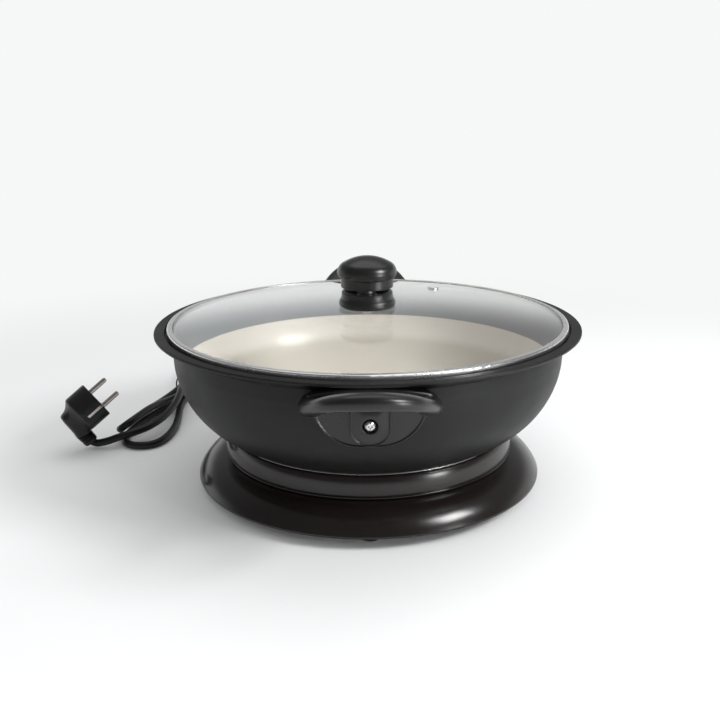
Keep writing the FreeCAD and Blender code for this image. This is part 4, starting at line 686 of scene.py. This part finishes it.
# Cord: one length of round PVC-covered black cord, from the controller behind the wok into a folded
# hank beside it, and on to the plug. The hank is two long loops, drawn in at the waist where the
# tie holds them.
CORD_RADIUS = 0.00365
HANK_WAIST = Vector((-0.205, 0.214, 0.0))
HANK_FAR = Vector((-0.196, 0.318, 0.0))
NEAR_TIPS = (Vector((-0.222, 0.060, 0.0)), Vector((-0.239, 0.076, 0.0)))
NEAR_HALVES = (0.021, 0.009)
NEAR_LEANS = (0.0, math.radians(36.0))
FAR_HALF = 0.017
WAIST_HALF = 0.0044
LAYER = 0.0081
LAY = 0.0037
WAIST_LAY = 0.00465
NEAR_SHOULDER_SHARE = 0.6
NEAR_SHOULDER_EXTRA = 0.014
FAR_SHOULDER_SHARE = 1.5
UP = Vector((0, 0, 1))


def right_of(way):
    """Level direction to the right of a way."""
    return Vector((way.y, -way.x, 0))


def hank_places():
    """Places and directions along the hank's loops."""
    far_way = (HANK_FAR - HANK_WAIST).normalized()
    far_side = right_of(far_way)
    places = []
    for index, (tip, half, lean) in enumerate(zip(NEAR_TIPS, NEAR_HALVES, NEAR_LEANS)):
        near_way = (HANK_WAIST - tip).normalized()
        near_side = right_of(near_way)
        waist_way = (near_way + far_way).normalized()
        waist_side = right_of(waist_way) * WAIST_HALF
        low = UP * (LAY + LAYER * index)
        low_waist = HANK_WAIST + UP * (WAIST_LAY + LAYER * index)
        near_side = near_side * math.cos(lean) + UP * math.sin(lean)
        tip = tip + low + UP * (half * math.sin(lean))
        shoulder = tip + near_way * (half * NEAR_SHOULDER_SHARE + NEAR_SHOULDER_EXTRA)
        far_shoulder = HANK_FAR - far_way * FAR_HALF * FAR_SHOULDER_SHARE + low
        if index == 0:
            places.append((low_waist + waist_side, -waist_way))
        places.append((shoulder + near_side * half, -near_way))
        places.append((tip, -near_side))
        places.append((shoulder - near_side * half, near_way))
        places.append((low_waist - waist_side, waist_way))
        places.append((far_shoulder - far_side * FAR_HALF, far_way))
        places.append((HANK_FAR + low + UP * LAYER * 0.5, far_side))
        places.append((far_shoulder + far_side * FAR_HALF + UP * LAYER, -far_way))
        places.append((low_waist + waist_side + UP * LAYER, -waist_way))
    return places


PARALLEL = 1e-9


def hank_corners(places):
    """Two control points for each stretch between one place on the loops and the next."""
    corners = []
    for (start, way), (end, end_way) in zip(places, places[1:]):
        gap = end - start
        spread = 1.0 - way.dot(end_way)
        along = gap.dot(way + end_way)
        if spread < PARALLEL:
            reach = gap.dot(gap) / (4.0 * gap.dot(end_way))
        else:
            reach = (math.sqrt(along * along + 2.0 * spread * gap.dot(gap)) - along) / (2.0 * spread)
        corners += [start + way * reach, end - end_way * reach]
    return corners


hank = hank_places()
hank_start = hank[0][0] - hank[0][1] * CORD_RADIUS * 2.0
hank_end = hank[-1][0] + hank[-1][1] * CORD_RADIUS * 2.0
HANK_LEAD_IN = 0.026
HANK_LEAD_OUT = 0.014
CORD_EXIT = Vector((0.0, 0.234, 0.037))
SUPPLY = [
    (0.0, 0.250, 0.037), (-0.004, 0.268, 0.030), (-0.017, 0.286, 0.018), (-0.039, 0.299, 0.008),
    (-0.066, 0.306, 0.0039), (-0.094, 0.308, 0.0038), (-0.121, 0.305, 0.0038), (-0.148, 0.296, 0.0038),
    (-0.170, 0.282, 0.0039), (-0.187, 0.2655, 0.0042),
]
PLUG_FACE = Vector((-0.2602, 0.0681, 0.0487))
PLUG_PINS_WAY = Vector((0.706, 0.417, 0.572)).normalized()
PLUG_CORD_WAY = Vector((0.475, 0.319, -0.820))
PLUG_CORD_WAY = (PLUG_CORD_WAY - PLUG_PINS_WAY * PLUG_CORD_WAY.dot(PLUG_PINS_WAY)).normalized()
PLUG_MOUTH_ALONG = 0.030
PLUG_MOUTH_DEEP = 0.0317
CORD_IN_PLUG = 0.0125
PLUG_MOUTH = PLUG_FACE + PLUG_CORD_WAY * PLUG_MOUTH_ALONG - PLUG_PINS_WAY * PLUG_MOUTH_DEEP
PLUG_CORNER = PLUG_MOUTH + PLUG_CORD_WAY * ((PLUG_MOUTH.z - LAY) / -PLUG_CORD_WAY.z)
LEAD = [
    (-0.2002, 0.166, 0.0212), (-0.2006, 0.138, 0.0180), (-0.206, 0.109, 0.0154),
    (-0.2145, 0.0875, 0.0138), (-0.2253, 0.0737, 0.0130), (-0.2385, 0.066, 0.0114),
    (-0.2533, 0.0633, 0.0066),
]
route = [CORD_EXIT, *map(Vector, SUPPLY), hank_start - hank[0][1] * HANK_LEAD_IN, hank_start]
route += hank_corners(hank)
route += [hank_end + hank[-1][1] * HANK_LEAD_OUT, *map(Vector, LEAD)]
route += [PLUG_CORNER, PLUG_CORNER - PLUG_CORD_WAY * CORD_IN_PLUG]
cord_curve = bpy.data.curves.new("mains_cord", "CURVE")
cord_curve.dimensions = "3D"
cord_line = cord_curve.splines.new("NURBS")
cord_line.points.add(len(route) - 1)
for point, place in zip(cord_line.points, route):
    point.co = (*place, 1.0)
    point.radius = CORD_RADIUS
cord_line.order_u = 3
cord_line.use_endpoint_u = True
cord_line.resolution_u = 12
cord_curve.bevel_depth = 1.0
cord_curve.bevel_resolution = 6
mains_cord = bpy.data.objects.new("mains_cord", cord_curve)
bpy.context.collection.objects.link(mains_cord)
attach(mains_cord, "controller")
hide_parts("cord_supply", "cord_hank", "cord_plug_lead")
cord_pvc = finish("cord_pvc", colour=(0.008, 0.008, 0.0083), rough=0.4, bump=0.2, Specular_IOR_Level=0.35)
cord_curve.materials.append(cord_pvc)
dress(cord_pvc, "strain_relief")


# Tie: a plastic-covered wire bent once round the hank's waist, its ends twisted into a short stub.
TIE_WIRE = 0.0008
TIE_HALF_HIGH = 0.0119
TIE_SQUARE = 2.0 / 3.2
TIE_STEPS = 40
STUB_LENGTH = 0.0075
STUB_STEPS = 12
STUB_TWIST = 0.9
STUB_WIRE = TIE_WIRE * 0.9
STUB_HEIGHT_SHARE = 0.55
waist_side = right_of(hank[0][1]) * -1.0
waist_middle = HANK_WAIST + UP * (TIE_HALF_HIGH + TIE_WIRE)
tie_half = WAIST_HALF + CORD_RADIUS + TIE_WIRE


def wire_rings(line, radius, closed):
    """Rings of wire round a line of points."""
    rings = []
    for index, place in enumerate(line):
        if closed:
            way = line[(index + 1) % len(line)] - line[index - 1]
        else:
            way = line[min(index + 1, len(line) - 1)] - line[max(index - 1, 0)]
        aside = way.cross(hank[0][1]).normalized() if closed else way.orthogonal().normalized()
        over = way.cross(aside).normalized()
        rings.append([
            place + aside * radius * math.cos(angle) + over * radius * math.sin(angle)
            for angle in EIGHTHS
        ])
    return rings + rings[:1] if closed else rings


tie_loop = []
for index in range(TIE_STEPS):
    side, up = bulge(2.0 * math.pi * index / TIE_STEPS, TIE_SQUARE)
    tie_loop.append(waist_middle + waist_side * tie_half * side + UP * TIE_HALF_HIGH * up)
stub_root = waist_middle + waist_side * tie_half + UP * TIE_HALF_HIGH * STUB_HEIGHT_SHARE
stub_runs = []
for side in (0.0, math.pi):
    stub = []
    for step in range(STUB_STEPS + 1):
        angle = side + step * STUB_TWIST
        stub.append(
            stub_root + waist_side * STUB_LENGTH * step / STUB_STEPS
            + hank[0][1] * TIE_WIRE * math.cos(angle) + UP * TIE_WIRE * math.sin(angle)
        )
    stub_runs.append((wire_rings(stub, STUB_WIRE, False), True, True, True))
tie_runs = [(wire_rings(tie_loop, TIE_WIRE, True), True, False, False), *stub_runs]
moulding("wire_tie", tie_runs, cord_pvc, "cord_pvc", "controller", "cord_tie")


# Plug: an earthed angle plug moulded in PVC on the cord, with a round front, a narrow waist behind
# it and a slotted sleeve round the cord. Its two pins are nickel-plated, and the earth clips are
# thin strips let into its sides.
PLUG_SIDE = PLUG_PINS_WAY.cross(PLUG_CORD_WAY)
PLUG_FRONT = (
    (0.0022, 0.0160), (0.0022, 0.0163), (0.0004, 0.0168), (0.0, 0.0172), (0.0, 0.0184),
    (0.0005, 0.0190), (0.0018, 0.0190), (0.0120, 0.0190), (0.0200, 0.0190), (0.0214, 0.0189),
)
PLUG_REAR = (
    (0.0221, 0.0186, 0.0222, -0.0186, 0.0182), (0.0225, 0.0185, 0.0246, -0.0148, 0.0146),
    (0.0228, 0.0185, 0.0290, -0.0114, 0.0110), (0.0231, 0.0185, 0.0345, -0.0108, 0.0096),
    (0.0233, 0.0186, 0.0366, -0.0098, 0.0092), (0.0234, 0.0187, 0.0371, -0.0020, 0.0090),
    (0.0236, 0.0190, 0.0374, 0.0060, 0.0087), (0.0237, 0.0193, 0.0376, 0.0120, 0.0083),
)
SLOT_START = 0.0150
SLOT_PITCH = 0.0026
SLOT_COUNT = 4
SLOT_DEPTH = 0.0016
SLOT_SHAPE = ((0.0, 0.0), (0.12, SLOT_DEPTH), (0.45, SLOT_DEPTH), (0.57, 0.0))
SLEEVE_HALF = 0.0070
SLEEVE_MIDDLE = 0.0309
SLEEVE_END = 0.0288
SLEEVE_NEAR_START = 0.0195
SLEEVE_NEAR_RISE = 0.25
SLEEVE_TAPER = 0.06
SLEEVE_TIP = ((0.0262, 0.0071), (0.0282, 0.0071), (0.0288, 0.0066), (0.0288, 0.0040))
SECTION_POINTS = 28
SECTION_SQUARE = 2.0 / 2.6


def plug_place(deep, along, aside):
    """Place behind the plug's face, along towards the cord and aside."""
    return PLUG_FACE - PLUG_PINS_WAY * deep + PLUG_CORD_WAY * along + PLUG_SIDE * aside


def plug_section(near_deep, near_along, far_deep, far_along, half, square=SECTION_SQUARE):
    """Ring that spans from a near point to a far point and is as wide as given."""
    ring = []
    for index in range(SECTION_POINTS):
        across, aside = bulge(2.0 * math.pi * index / SECTION_POINTS, square)
        share = (1.0 + across) / 2.0
        ring.append(plug_place(
            near_deep + (far_deep - near_deep) * share,
            near_along + (far_along - near_along) * share,
            half * aside,
        ))
    return ring


plug_rings = [plug_section(deep, reach, deep, -reach, reach, 1.0) for deep, reach in PLUG_FRONT]
plug_rings.append(plug_section(*PLUG_REAR[0], 1.0))
plug_rings += [plug_section(*sizes) for sizes in PLUG_REAR[1:]]
for slot in range(SLOT_COUNT):
    for share, inset in SLOT_SHAPE:
        place = SLOT_START + SLOT_PITCH * (slot + share)
        near_place = max(place, SLEEVE_NEAR_START + (place - SLOT_START) * SLEEVE_NEAR_RISE)
        half = SLEEVE_HALF - inset + (SLEEVE_END - place) * SLEEVE_TAPER
        plug_rings.append(plug_section(SLEEVE_MIDDLE - half, near_place, SLEEVE_MIDDLE + half, place, half))
for place, half in SLEEVE_TIP:
    plug_rings.append(plug_section(SLEEVE_MIDDLE - half, place, SLEEVE_MIDDLE + half, place, half))
plug_pvc = finish("plug_pvc", colour=(0.0085, 0.0085, 0.009), rough=0.38, bump=0.4, Specular_IOR_Level=0.4)
moulding("plug_moulding", [(plug_rings, True, True, True)], plug_pvc, "plug_pvc", "controller", "plug_body")
dress(nickel, "plug_pins")
CLIP_HALF = 0.0017
CLIP_THICK = 0.0006
CLIP_INSET = 0.0003
CLIP_PATH = (
    (0.0012, 0.0152), (-0.0004, 0.0156), (-0.0006, 0.0180), (-0.0002, 0.0192), (0.0015, 0.0195),
    (0.0168, 0.0195), (0.0172, 0.0186),
)
clip_runs = []
for side in (-1.0, 1.0):
    clip_rings = []
    for deep, reach in CLIP_PATH:
        outer = [plug_place(deep, across, side * reach) for across in (-CLIP_HALF, CLIP_HALF)]
        inner = [
            plug_place(deep + CLIP_INSET, across, side * (reach - CLIP_THICK))
            for across in (CLIP_HALF, -CLIP_HALF)
        ]
        clip_rings.append(outer + inner)
    clip_runs.append((clip_rings, True, True, True))
moulding("earth_strips", clip_runs, nickel, "nickel_pin", "controller", "plug_earth_clips")


# Last: the view layer is brought up to date. The view transform shows the colours as they are.
bpy.context.view_layer.update()
bpy.context.scene.view_settings.view_transform = "Standard"
